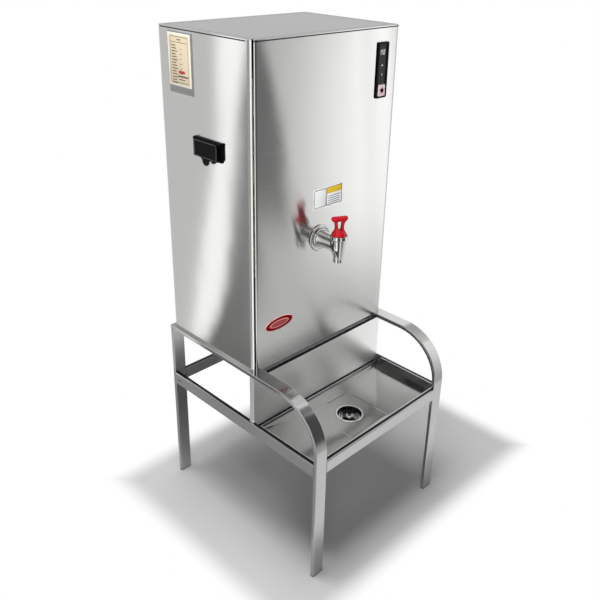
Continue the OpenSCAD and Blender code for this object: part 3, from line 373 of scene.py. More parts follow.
def outline_box(width, height, r, steps=6):
    """Outline of a rectangle with round corners, centred, counter-clockwise."""
    out = []
    for sx, sy, start in ((1, 1, 0), (-1, 1, 90), (-1, -1, 180), (1, -1, 270)):
        for i in range(steps + 1):
            a = math.radians(start + 90 * i / steps)
            out.append((sx * (width / 2 - r) + r * math.cos(a),
                        sy * (height / 2 - r) + r * math.sin(a)))
    return out


def rounded(points, r, steps=5):
    """Profile with each inner corner of a line of points rounded by r."""
    out = [points[0]]
    for a, b, c in zip(points, points[1:], points[2:]):
        a, b, c = Vector(a), Vector(b), Vector(c)
        one, two = (a - b), (c - b)
        cut = min(r, one.length * 0.45, two.length * 0.45)
        p, q = b + one.normalized() * cut, b + two.normalized() * cut
        for i in range(steps + 1):
            t = i / steps
            out.append(tuple((1 - t) ** 2 * p + 2 * t * (1 - t) * b + t ** 2 * q))
    out.append(points[-1])
    return out


def lathe(name, profile, place, steps=72):
    """Mesh turned from (radius, height) pairs in millimetres, its axis straight out."""
    rings = [[place(u, v, h) for u, v in oval(r, r, steps)] for r, h in profile]
    work, _ = bridged(rings, caps=True)
    return finished(work, name, 35.0)


def slab(name, outline, place, thick, edge=0.1, steps=2):
    """A flat piece: an outline raised by its thickness, its outer edge eased."""
    work, rows = bridged([[place(u, v, out) for u, v in outline] for out in (0, thick)],
                         caps=True)
    if edge:
        ease(work, edges_of(work, rows[1]), edge, steps)
    return finished(work, name)


def joined(name, meshes):
    """One mesh from several."""
    work = bmesh.new()
    for mesh in meshes:
        work.from_mesh(mesh)
        bpy.data.meshes.remove(mesh)
    return finished(work, name)


def bars(name, place, sizes, thick, r=None, edge=0.0, steps=3):
    """One mesh of flat bars, each (across, up, width, height) about its middle.

    r rounds their corners; without it their ends are nearly round.
    """
    return joined(name, [
        slab("bar", outline_box(w, h, r or min(w, h) / 2.2, steps), shifted(place, u, v),
             thick, edge) for u, v, w, h in sizes])


# ---------------------------------------------------------------- settings


class UrnSteelSettings(bpy.types.PropertyGroup):
    """Finish of the steel sheet and tube."""

    colour: bpy.props.FloatVectorProperty(
        name="Colour", description="Reflectance of the steel", subtype="COLOR",
        size=3, default=(0.62, 0.62, 0.61), min=0.0, max=1.0,
    )
    roughness: bpy.props.FloatProperty(
        name="Roughness", description="Blur of the reflections", default=0.14,
        min=0.02, max=1.0, subtype="FACTOR",
    )
    stretch: bpy.props.FloatProperty(
        name="Stretch", description="How far the grain stretches reflections", default=0.6,
        min=0.0, max=1.0, subtype="FACTOR",
    )
    wave: bpy.props.FloatProperty(
        name="Wave height", description="Height of the slow waves in a sheet, millimetres",
        default=0.5, min=0.0, max=5.0,
    )


class UrnTapSettings(bpy.types.PropertyGroup):
    """Pose of the tap's handle at rest."""

    turn: bpy.props.FloatProperty(
        name="Turn", description="Swivel of the handle at rest", default=math.radians(28),
        min=0.0, max=math.radians(90), subtype="ANGLE",
    )


class UrnStudioSettings(bpy.types.PropertyGroup):
    """Camera, floor and light."""

    lens: bpy.props.FloatProperty(
        name="Lens", description="Focal length", default=43.831, min=10.0, max=200.0,
        subtype="DISTANCE_CAMERA",
    )
    eye: bpy.props.FloatVectorProperty(
        name="Camera place", description="Where the camera stands", size=3,
        default=(-1.02823, -1.00056, 1.24478), subtype="TRANSLATION",
    )
    turn: bpy.props.FloatVectorProperty(
        name="Camera turn", description="How the camera is turned", size=3, subtype="EULER",
        default=(math.radians(65.38196), math.radians(-1.41826), math.radians(-45.35022)),
    )
    shift: bpy.props.FloatVectorProperty(
        name="Camera shift", description="Shift of the view in the camera's frame",
        size=2, default=(-0.02, -0.0633),
    )
    floor_tone: bpy.props.FloatProperty(
        name="Floor tone", description="Reflectance of the floor", default=0.78,
        min=0.0, max=1.0, subtype="FACTOR",
    )
    sheet_low: bpy.props.FloatVectorProperty(
        name="Sheet low", description="Left front corner of the floor sheet that takes shadow",
        size=2, default=(-0.33, -0.31),
    )
    sheet_high: bpy.props.FloatVectorProperty(
        name="Sheet high", description="Right rear corner of the floor sheet",
        size=2, default=(0.5, 0.3),
    )
    sheet_soft: bpy.props.FloatProperty(
        name="Sheet edge", description="Width over which the sheet fades to plain white",
        default=0.07, min=0.001, subtype="DISTANCE",
    )
    level_light: bpy.props.FloatProperty(
        name="Level light", description="Diffuse light from the horizon", default=0.02,
        min=0.0, max=5.0,
    )
    sky_light: bpy.props.FloatProperty(
        name="Sky light", description="Diffuse light from straight above", default=0.13,
        min=0.0, max=5.0,
    )
    overhead: bpy.props.FloatProperty(
        name="Overhead light", description="Power of the overhead light", default=52.0,
        min=0.0, max=500.0, unit="POWER",
    )
    front: bpy.props.FloatProperty(
        name="Front light", description="Power of the gridded light beside the camera",
        default=3.4, min=0.0, max=500.0, unit="POWER",
    )


# ---------------------------------------------------------------- operators


class URN_OT_stand(bpy.types.Operator):
    """Softens and finishes the tube stand"""

    bl_idname = "urn.stand"
    bl_label = "Stand"

    def execute(self, context):
        # painted shade: the stand's steel is made darker than the other steel
        tube = brushed("stand steel painted shade", context.scene.urn_steel, (0.47, 0.47, 0.465), wave=0.2)
        for name in ("leg_rail_left", "leg_rail_right", "rear_leg_left", "rear_leg_right",
                     "bar_left", "bar_right", "bar_front", "bar_rear"):
            eased_copy(name, tube, "stand_steel", edge=0.25)
        rubber = plain("foot rubber", (0.02, 0.02, 0.02), 0.6)
        for name in ("foot_front_left", "foot_front_right", "foot_rear_left", "foot_rear_right"):
            eased_copy(name, rubber, "foot_plastic")
        self.bar_shade_and_lips()
        self.screws()
        return {"FINISHED"}

    def bar_shade_and_lips(self):
        """Black strips of painted shade along the bars' inner top edges, and a folded lip inside
        them whose bright steel is painted highlight.
        """
        left, _, _ = size_of("bar_left")
        front, front_high, _ = size_of("bar_front")
        _, rear_high, _ = size_of("bar_rear")
        top, outer_x = front_high.z, -left.x
        half_y, mid_y = (rear_high.y - front.y) / 2, (rear_high.y + front.y) / 2
        rim, wide = 3.4, 5.9
        sizes = []
        for side in (-1, 1):
            sizes += [(side * (outer_x - rim - wide / 2), mid_y, wide, 2 * (half_y - rim)),
                      (0, mid_y + side * (half_y - rim - wide / 2), 2 * (outer_x - rim), wide)]
        # painted shade: black strips where the bars' inner edges fall into shadow
        rubber = plain("bar edge painted shade", (0.006, 0.006, 0.006), 0.5, specular=0.15)
        mesh = bars("look_bar_shade", facing("top", 0, 0, top), sizes, 0.35, r=0.5, edge=0.1,
                    steps=2)
        add_piece("look_bar_shade", mesh, rubber, "urn", "seat_rubber")
        # the lip runs along the front and back towards the splash panel
        lip, start, run, run_mid, sunk = 2.0, rim + wide + 0.4, 180.0, 92.0, 0.6
        sizes = [(side * (outer_x - start - lip / 2), front.y + run_mid, lip, run - 2 * start)
                 for side in (-1, 1)]
        sizes.append((0, front.y + start + lip / 2, 2 * (outer_x - start), lip))
        # painted highlight: the lip's steel is brighter than the rest of the steel
        bright = plain("lip painted highlight steel", (0.9, 0.9, 0.89), 0.3, metallic=1.0)
        mesh = bars("look_lips", facing("top", 0, 0, top - sunk), sizes, 1.2, r=0.9, edge=0.8)
        add_piece("look_lips", mesh, bright, "urn", "sink_steel")

    def screws(self):
        """Two small screws where the left bar meets the rear leg."""
        bar, bar_high, _ = size_of("bar_left")
        head_r, head_h = 1.7, 0.5
        dark = plain("screw steel", (0.08, 0.08, 0.08), 0.35, metallic=1.0)
        heads = [slab("screw", oval(head_r, head_r, 20),
                      facing("left", bar.x, bar_high.y - back, bar_high.z - drop), head_h,
                      edge=0.2)
                 for back, drop in ((9.0, 16.0), (17.0, 15.0))]
        add_piece("look_bar_screws", joined("look_bar_screws", heads), dark, "urn", "pin_steel")


class URN_OT_sink(bpy.types.Operator):
    """Softens and finishes the splash panel, the sink and its drain"""

    bl_idname = "urn.sink"
    bl_label = "Splash Panel and Sink"

    def execute(self, context):
        steel = context.scene.urn_steel
        # painted light: the splash steel is made brighter than the other steel
        splash = brushed("splash steel painted light", steel, (0.9, 0.9, 0.89), roughness=0.32, stretch=0.75,
                         wave=5.0)
        # painted shade: the sink steel is made darker than the other steel
        tray = brushed("sink steel painted shade", steel, (0.34, 0.34, 0.335), roughness=0.16, stretch=0.3,
                       wave=2.0)
        # painted shade: dark inside the drain's bore and inside the strainer's rim
        flange = self.painted_shade_rings("drain chrome painted shade", (
            (27.2, 28.0, (0.015, 0.015, 0.015), (0.78, 0.78, 0.77)),))
        basket = self.painted_shade_rings("strainer painted shade", (
            (3.0, 4.5, (0.6, 0.6, 0.6), (0.02, 0.02, 0.02)),
            (14.0, 16.5, None, (0.62, 0.62, 0.61))))
        eased_copy("splash_panel", splash, "splash_steel", edge=0.3)
        eased_copy("sink_tray", tray, "sink_steel", edge=0.3, angle=13.0)
        eased_copy("drain_body", flange, "drain_chrome", edge=0.3)
        eased_copy("strainer", basket, "strainer_steel", edge=0.15)
        paint("drain_nut", plain("nut brass", (0.56, 0.42, 0.2), 0.32, metallic=1.0))
        self.creases()
        # painted highlight: the beads' steel is brighter than the rest of the steel
        self.splash_shade_and_beads(brushed("bead painted highlight steel", steel, (0.92, 0.92, 0.91), roughness=0.3))
        return {"FINISHED"}

    def painted_shade_rings(self, name, rings):
        """Metal whose tone changes with the distance from the drain's axis: painted shade darkens
        the hollows.

        rings holds (start, end, tone inside, tone outside); None keeps the tones so far.
        """
        _, _, mid = size_of("drain_body")
        mat = plain(name, (0.5, 0.5, 0.5), 0.16, metallic=1.0)
        tree = mat.node_tree
        place = node(tree, "ShaderNodeNewGeometry")
        level = node(tree, "ShaderNodeVectorMath", {1: (1, 1, 0)}, operation="MULTIPLY")
        away = node(tree, "ShaderNodeVectorMath", {1: (mid.x * MM, mid.y * MM, 0)},
                    operation="DISTANCE")
        wire(place, "Position", level, 0)
        wire(level, "Vector", away, 0)
        last = None
        for start, end, inside, outside in rings:
            fade = node(tree, "ShaderNodeMapRange",
                        {"From Min": start * MM, "From Max": end * MM},
                        interpolation_type="SMOOTHSTEP")
            # a colour mix has its colours on sockets 6 and 7, its result on 2
            mix = node(tree, "ShaderNodeMix", {7: (*outside, 1)}, data_type="RGBA")
            if inside:
                fill(mix, {6: (*inside, 1)})
            else:
                wire(last, 2, mix, 6)
            wire(away, "Value", fade, "Value")
            wire(fade, "Result", mix, 0)
            last = mix
        wire(last, 2, tree.nodes["Principled BSDF"], "Base Color")
        return mat

    def creases(self):
        """Fine pressed lines round the flat square that holds the drain, drawn as thin strips of
        painted shade and painted highlight.
        """
        _, ring_top, drain = size_of("drain_body")
        flange_h, half, line = 1.2, 59.2, 1.0
        thin = 0.8 * line
        at = facing("top", drain.x, drain.y, ring_top.z - flange_h)
        dark = plain("crease painted shade", (0.1, 0.1, 0.1), 0.3, metallic=1.0)
        light = plain("crease painted highlight", (0.75, 0.75, 0.74), 0.3, metallic=1.0)
        for name, mat, sizes in (
            ("look_creases_painted_shade", dark, ((0, -half, 2 * half - 8, line), (half, 12, line, half),
                                         (20, half, half, line))),
            ("look_creases_painted_highlight", light, ((half, -36, thin, 46), (-30, half, 54, thin),
                                           (-half, -22, thin, 62))),
        ):
            mesh = bars(name, at, sizes, 0.22, r=line / 2.6, edge=0.05, steps=2)
            add_piece(name, mesh, mat, "urn", "sink_steel")

    def splash_shade_and_beads(self, bead):
        """Black strips of painted shade in the gaps above and below the splash panel, each beside a
        folded bead whose bright steel is painted highlight.
        """
        splash, splash_high, _ = size_of("splash_panel")
        _, tray_high, _ = size_of("sink_tray")
        cabinet, _, _ = size_of("front_panel")
        top_w, foot_w = -2 * cabinet.x - 10.0, -2 * cabinet.x - 6.0
        top, foot = splash_high.z, tray_high.z
        # painted shade: black strips where the gaps above and below the splash panel fall into
        # shadow
        rubber = plain("splash gap painted shade", (0.006, 0.006, 0.006), 0.6, specular=0.15)
        # width, height and height of the middle; then thickness and rounding
        for name, mat, slot, wide, tall, middle, thick, edge in (
            ("look_splash_shade_top", rubber, "seat_rubber", top_w, 7.0, top - 3.9, 1.5, 0.3),
            ("look_splash_shade_foot", rubber, "seat_rubber", foot_w, 4.6, foot + 4.4, 0.9, 0.3),
            ("look_bead_top", bead, "splash_steel", top_w, 1.6, top - 8.2, 1.0, 0.75),
            ("look_bead_foot", bead, "sink_steel", foot_w, 3.2, foot + 0.4, 1.9, 1.5),
        ):
            mesh = slab(name, outline_box(wide, tall, 0.5, 3),
                        facing("front", 0, splash.y, middle), thick, edge)
            add_piece(name, mesh, mat, "urn", slot)


class URN_OT_cabinet(bpy.types.Operator):
    """Softens and finishes the cabinet's panels and its top cover"""

    bl_idname = "urn.cabinet"
    bl_label = "Cabinet"

    def execute(self, context):
        steel = context.scene.urn_steel
        front = brushed("front steel", steel, roughness=0.16, stretch=0.97)
        side = brushed("side steel", steel, stretch=0.85)
        # painted shade: the base pan's steel is made nearly black for the shade under the cabinet
        under = brushed("base steel painted shade", steel, (0.1, 0.1, 0.1), roughness=0.35)
        top = brushed("cover steel", steel, roughness=0.2, stretch=0.2, wave=1.2)
        for name, mat, slot in (
            ("front_panel", front, "front_steel"), ("side_left", side, "side_steel"),
            ("side_right", side, "side_steel"), ("rear_panel", side, "rear_steel"),
            ("base_pan", under, "rear_steel"), ("top_cover", top, "cover_steel"),
        ):
            eased_copy(name, mat, slot, edge=0.35)
        self.cover_gap_shade()
        self.rim_shadows()
        return {"FINISHED"}

    def rim_shadows(self):
        """Painted shadow under the folded rim: dark strips along the top of the front and the
        sides.
        """
        front, front_high, _ = size_of("front_panel")
        left, left_high, left_mid = size_of("side_left")
        tall, drop, thick, front_clear, side_clear = 2.2, 2.8, 0.12, 12.0, 24.0
        wide, deep = -2 * left.x - front_clear, left_high.y - left.y - side_clear
        side_z = left_high.z - drop
        dark = plain("seam shadow", (0.02, 0.02, 0.02), 0.5, specular=0.2)
        meshes = [slab("seam", outline_box(run, tall, 0.8, 2), place, thick, edge=0.05)
                  for run, place in (
                      (wide, facing("front", 0, front.y, front_high.z - drop)),
                      (deep, facing("left", left.x, left_mid.y, side_z)),
                      (deep, facing("right", -left.x, left_mid.y, side_z)))]
        add_piece("look_rim_shadows", joined("look_rim_shadows", meshes), dark, "urn", "side_steel")

    def cover_gap_shade(self):
        """Black strip of painted shade that fills the gap round the top cover."""
        low, high, mid = size_of("top_cover")
        wide, deep = high.x - low.x, high.y - low.y
        gap, tuck, sunk, tall, corner = 1.45, 0.05, 0.1, 3.0, 3.0
        at = facing("top", mid.x, mid.y, high.z - sunk)
        rings = [[at(u, v, rise) for u, v in
                  outline_box(wide - 2 * inset, deep - 2 * inset, corner - inset)]
                 for inset, rise in ((-gap, -tall), (-gap, 0), (-tuck, 0), (-tuck, -tall))]
        work, _ = bridged(rings, closed=True)
        # painted shade: black fills the gap where it falls into shadow
        rubber = plain("cover gap painted shade", (0.01, 0.01, 0.01), 0.6, specular=0.15)
        add_piece("look_cover_gap_shade", finished(work, "look_cover_gap_shade"), rubber, "urn", "seat_rubber")


class URN_OT_fittings(bpy.types.Operator):
    """Finishes the tank and the fittings inside and behind the cabinet"""

    bl_idname = "urn.fittings"
    bl_label = "Tank and Fittings"

    def execute(self, context):
        for finish, names in (
            (plain("fitting steel", (0.5, 0.5, 0.5), 0.35, metallic=1.0),
             ("tank_stand", "inner_tank", "heater_flange", "heating_element", "level_probe",
              "temp_probe", "vent_pipe", "tap_spring", "tap_stem", "cover_pin")),
            (plain("insulation foam", (0.75, 0.68, 0.45), 0.9), ("insulation",)),
            (plain("fitting plastic", (0.03, 0.03, 0.032), 0.45), ("valve_coil", "cable_gland")),
            (plain("pale plastic", (0.7, 0.7, 0.67), 0.45),
             ("inlet_valve", "fill_hose", "seat_cup")),
            (plain("control box grey", (0.22, 0.23, 0.22), 0.5), ("control_box",)),
            (plain("fitting brass", (0.6, 0.45, 0.2), 0.32, metallic=1.0),
             ("drain_cock", "tap_nut")),
        ):
            for name in names:
                paint(name, finish)
        return {"FINISHED"}


class URN_OT_tap(bpy.types.Operator):
    """Builds the tap's chromed body, flange and collar"""

    bl_idname = "urn.tap"
    bl_label = "Tap"

    def execute(self, context):
        chrome = plain("tap chrome", (0.62, 0.62, 0.61), 0.09, metallic=1.0)
        low, high, mid = size_of("tap_collar")
        collar_top, collar_r = high.z, (high.x - low.x) / 2
        body_low, body_high, _ = size_of("tap_body")
        flange_low, flange_high, flange_mid = size_of("tap_flange")
        axis_z = flange_mid.z
        reach = flange_low.y - mid.y
        tip, top = body_low.z - axis_z, body_high.z - axis_z
        tip_r, neck_r, barrel_r, barrel_end = 9.7, 15.8, 18.2, 13.0
        rib, rib_out, neck, sag = tip + 6.5, 0.45, top - 4, 4.0
        bore_r, bore_deep, bore_rim = 5.5, 14.0, 0.8
        fillet, fillet_under = 3.0, 5.0

        def body(x, y, z):
            """Upright spout and the barrel behind it, from where their axes meet."""
            rho = np.hypot(x, y)
            t = np.clip((z - rib) / (neck - rib), 0, 1)
            radius = tip_r + (neck_r - tip_r) * t ** 0.9
            radius = radius + rib_out * (z < rib - 0.4)
            spout = np.maximum(rho - radius, z - top) * 0.95
            spout = np.maximum(spout, tip - z)
            # the barrel's lower side sinks towards the spout
            near = np.clip(1 - y / reach, 0, 1)
            low_side = np.where(z < 0, z / (1 + sag * near ** 2 / barrel_end), z)
            wide = barrel_r + (barrel_end - barrel_r) * near ** 0.8
            barrel = (np.hypot(x, low_side) - wide) * 0.9
            barrel = np.maximum(barrel, np.maximum(-y, y - reach - 1))
            solid = blended(spout, barrel, fillet + fillet_under * np.clip(-z / 10, 0, 1))
            bore = np.maximum(rho - bore_r, z - (tip + bore_deep))
            return carved(np.maximum(solid, tip - z), bore, bore_rim)

        mesh = moulded("look_tap_body", body, (-21, -20, tip - 2), (21, reach + 3, top + 2))
        mesh.transform(Matrix.Translation(Vector((mid.x, mid.y, axis_z)) * MM))
        add_piece("look_tap_body", mesh, chrome, "urn", "tap_chrome", "tap_body")
        # stepped wall flange: rounded rim, groove, raised inner ring
        flange_r = (flange_high.x - flange_low.x) / 2
        rim = rounded([
            (flange_r, 0), (flange_r, 2.6), (flange_r - 1.6, 4.6), (flange_r - 3.6, 4.6),
            (flange_r - 5.2, 1.4), (21.6, 1.2), (20.6, 5.6), (19.6, 7.0), (18.4, 6.8),
            (17.6, 4.0), (12.0, 4.0),
        ], 0.8)
        mesh = lathe("look_tap_flange", rim, facing("front", mid.x, flange_high.y, axis_z))
        add_piece("look_tap_flange", mesh, chrome, "urn", "tap_chrome", "tap_flange")
        # bright cup round the handle's base
        foot, floor_z, stem_r = low.z + 6.5, collar_top - 7.4, 2.4
        cup = rounded([
            (stem_r, foot), (neck_r, foot), (collar_r - 1.2, foot + 0.3),
            (collar_r, foot + 2.4), (collar_r - 0.2, collar_top - 1.2),
            (collar_r - 1.0, collar_top), (collar_r - 1.7, collar_top),
            (collar_r - 1.9, floor_z), (stem_r, floor_z),
        ], 0.7)
        mesh = lathe("look_tap_collar", cup, facing("top", mid.x, mid.y, 0))
        add_piece("look_tap_collar", mesh, chrome, "urn", "tap_chrome", "tap_collar")
        paint("tap_pin", chrome)
        return {"FINISHED"}


class URN_OT_handle(bpy.types.Operator):
    """Builds the tap's moulded red handle"""

    bl_idname = "urn.handle"
    bl_label = "Tap Handle"

    def execute(self, context):
        low, high, _ = size_of("tap_handle")
        _, _, cup = size_of("tap_collar")
        base = low.z + 6.0
        tall = high.z - base
        bar_w, bar_h, waist, thick = 35.0, 10.0, 19.0, 10.0
        ball_r, squash, corner, foot_out, top_out = 15.2, 1.12, 3.4, 3.4, 3.2
        cone, cone_r, cone_z, cone_scale = 0.353, 4.0, -6.0, 0.943
        slot_z, slot_w, slot_h, slot_corner, slot_rim = 21.0, 4.1, 9.8, 2.4, 1.4

        def handle(x, y, z):
            """Ball foot, slotted blade and grip bar, from the middle of the ball."""
            ball = (np.sqrt(x ** 2 + y ** 2 + (z * squash) ** 2) - ball_r) / squash
            # coned underside, clear of the cup when the handle tilts
            under = cone * np.maximum(np.hypot(x, y) - cone_r, 0) + cone_z - z
            ball = np.maximum(ball, cone_scale * under)
            # blade: broader and thicker at its foot, broader again at its top
            half = waist / 2 + foot_out * np.clip((15 - z) / 10, 0, 1) ** 2
            half = half + top_out * np.clip((z - 20) / (tall - 30), 0, 1) ** 2
            depth = thick / 2 + 1.6 * np.clip((13 - z) / 8, 0, 1)
            dx, dy = np.abs(x) - (half - corner), np.abs(y) - (depth - corner)
            blade = np.hypot(np.maximum(dx, 0), np.maximum(dy, 0))
            blade = blade + np.minimum(np.maximum(dx, dy), 0) - corner
            blade = np.maximum(blade, np.maximum(-z, z - tall + bar_h / 2)) * 0.9
            # grip bar, swelling towards its ends
            top = z - (tall - bar_h / 2) - 0.25
            along = np.clip(x, -(bar_w / 2 - 5.2), bar_w / 2 - 5.2)
            swell = 4.75 + 0.45 * (np.abs(x) / (bar_w / 2)) ** 2
            bar = np.sqrt((x - along) ** 2 + (y * 0.98) ** 2 + top ** 2) - swell
            solid = blended(blended(ball, blade, 4.0), bar, 4.5)
            # slot through the blade, wider at its top
            slot_half = 2.9 + 2.3 * np.clip((z - 11) / 20, 0, 1)
            slot = soft_box(x * slot_w / slot_half, y, z - slot_z, (slot_w, 40.0, slot_h),
                            slot_corner)
            return carved(solid, slot, slot_rim)

        mesh = moulded("look_tap_handle", handle, (-20, -17, -8), (20, 17, tall + 2))
        place = Matrix.Translation(Vector((cup.x, cup.y, base)) * MM)
        mesh.transform(place @ Matrix.Rotation(-context.scene.urn_tap.turn, 4, "Z"))
        red = plain("handle red", (0.36, 0.001, 0.008), 0.24, coat=0.15, specular=0.3)
        add_piece("look_tap_handle", mesh, red, "tap_handle", "handle_red", "tap_handle")
        return {"FINISHED"}


class URN_OT_strip(bpy.types.Operator):
    """Builds the control strip with its window, lamps and button"""

    bl_idname = "urn.strip"
    bl_label = "Control Strip"

    def execute(self, context):
        low, high, mid = size_of("strip_bezel")
        border, sunk = 5.0, 2.4
        self.border(mid, low.y, high.x - low.x, high.z - low.z, border)
        self.face(mid, low.y + sunk, (high.x - low.x) / 2 - border, (high.z - low.z) / 2 - border)
        self.window(low.y + sunk)
        self.button()
        return {"FINISHED"}

    def border(self, mid, front, width, height, border):
        """Gloss border, an outer ring raised round the sunk face."""
        at = facing("front", mid.x, front, mid.z)
        outer = outline_box(width, height, 3.0)
        inner = outline_box(width - 2 * border, height - 2 * border, 1.2)
        work, rows = bridged([[at(u, v, -depth) for u, v in ring] for ring, depth in
                              ((outer, 3.4), (outer, 0.0), (inner, 0.0), (inner, 2.6))])
        ease(work, edges_of(work, rows[1]) + edges_of(work, rows[2]), 0.9, 4)
        gloss = plain("strip gloss black", (0.002, 0.002, 0.002), 0.2, specular=0.08)
        add_piece("look_strip_border", finished(work, "look_strip_border"), gloss, "urn",
                  "bezel_black", "strip_bezel")

    def face(self, mid, wall, end_u, end_v):
        """Sunk face in four tiles, with a window left free for the button."""
        low, high, _ = size_of("control_button")
        gap, thick, least, tuck = 0.5, 0.8, 0.1, 0.2
        end_u, end_v = end_u + tuck, end_v + tuck
        left, right = low.x - mid.x - gap, high.x - mid.x + gap
        under, over = low.z - mid.z - gap, high.z - mid.z + gap
        tiles = [(-end_u, end_u, over, end_v), (-end_u, end_u, -end_v, under),
                 (-end_u, left, under, over), (right, end_u, under, over)]
        at = facing("front", mid.x, wall + thick, mid.z)
        plates = [slab("tile", [(u0, v0), (u1, v0), (u1, v1), (u0, v1)], at, thick, edge=0)
                  for u0, u1, v0, v1 in tiles if min(u1 - u0, v1 - v0) > least]
        grey = plain("strip face grey", (0.02, 0.02, 0.021), 0.35, specular=0.15)
        add_piece("look_strip_face", joined("look_strip_face", plates), grey, "urn",
                  "bezel_black")

    def window(self, wall):
        """Window with two lit seven segment figures, and the two lamps, their glow painted as a
        pale colour.
        """
        low, high, mid = size_of("display_window")
        pane_h, digit_w, digit_h, stroke, digit_x = 0.3, 5.0, 9.0, 1.25, 3.6
        at = facing("front", mid.x, wall, mid.z)
        pane = slab("look_window", outline_box(high.x - low.x, high.z - low.z, 1.0), at, pane_h)
        unlit = plain("window grey", (0.03, 0.031, 0.032), 0.18, specular=0.2)
        add_piece("look_window", pane, unlit, "urn", "window_plastic", "display_window")
        sizes = []
        for centre in (-digit_x, digit_x):
            sizes += [(centre, v, digit_w - 1.2, stroke) for v in (-digit_h / 2, 0, digit_h / 2)]
            sizes += [(centre + u, v, stroke, digit_h / 2 - 1.0)
                      for u in (-digit_w / 2, digit_w / 2) for v in (-digit_h / 4, digit_h / 4)]
        # painted glow: a pale colour, not a light, stands for the lit segments and lamps
        lit = plain("segment painted glow", (0.72, 0.72, 0.72), 0.4)
        mesh = bars("look_segments", shifted(at, 0, 0, pane_h), sizes, 0.12, r=0.5, edge=0.04)
        add_piece("look_segments", mesh, lit, "urn", "lamp_plastic")
        dome = rounded([(0.0, -1.0), (1.65, -1.0), (1.65, 0.4), (0.9, 0.9), (0.0, 1.0)], 0.3)
        for name in ("led_upper", "led_lower"):
            _, _, lens = size_of(name)
            mesh = lathe("look_" + name, dome, facing("front", lens.x, wall, lens.z), steps=32)
            add_piece("look_" + name, mesh, lit, "urn", "lamp_plastic", name)

    def button(self):
        """Push button with a plain red ring."""
        low, high, mid = size_of("control_button")
        cap_h = 3.0
        pink = plain("button pink", (0.62, 0.5, 0.51), 0.35)
        cap = slab("look_button", outline_box(high.x - low.x, high.z - low.z, 1.6),
                   facing("front", mid.x, low.y + cap_h, mid.z), cap_h, edge=0.8, steps=4)
        add_piece("look_button", cap, pink, "control_button", "button_plastic",
                  "control_button")
        inner_r, outer_r, rise = 4.2, 5.6, 0.14
        ring = rounded([(inner_r, 0.0), (inner_r, rise), (outer_r, rise), (outer_r, 0.0)],
                       0.05, 2)
        mesh = lathe("look_button_ring", ring, facing("front", mid.x, low.y, mid.z), steps=48)
        mark = plain("button mark red", (0.36, 0.12, 0.15), 0.4)
        add_piece("look_button_ring", mesh, mark, "control_button", "button_plastic")


class URN_OT_breaker(bpy.types.Operator):
    """Builds the breaker's frame, switch and flip cover"""

    bl_idname = "urn.breaker"
    bl_label = "Breaker"

    def execute(self, context):
        gloss = plain("breaker black", (0.002, 0.002, 0.002), 0.3, specular=0.06)
        smoke = plain("flip smoked", (0.001, 0.001, 0.001), 0.2, specular=0.05)
        grey = plain("breaker line grey", (0.1, 0.1, 0.102), 0.35, specular=0.3)
        eased_copy("breaker_housing", gloss, "housing_black", edge=0.8, steps=3)
        eased_copy("breaker_switch", gloss, "switch_black", edge=0.3)
        eased_copy("breaker_lever", gloss, "lever_black", edge=0.4)
        eased_copy("breaker_cover", smoke, "flip_smoked", edge=0.7, steps=3)
        # raised lines round the face of the flip cover
        low, high, mid = size_of("breaker_cover")
        inset, line, foot_line = 3.0, 0.9, 0.7
        wide = high.y - low.y
        top, foot = high.z - 3.5, low.z + 15.5
        middle, run, side = (top + foot) / 2, top - foot, wide / 2 - inset
        sizes = [(0, top, wide - 2 * inset, line), (0, foot, wide - 2 * inset, foot_line),
                 (side, middle, line, run), (-side, middle, line, run)]
        mesh = bars("look_cover_lines", facing("left", low.x, mid.y, 0), sizes, 0.1, r=0.3,
                    edge=0.03)
        add_piece("look_cover_lines", mesh, grey, "breaker_cover", "flip_smoked")
        return {"FINISHED"}


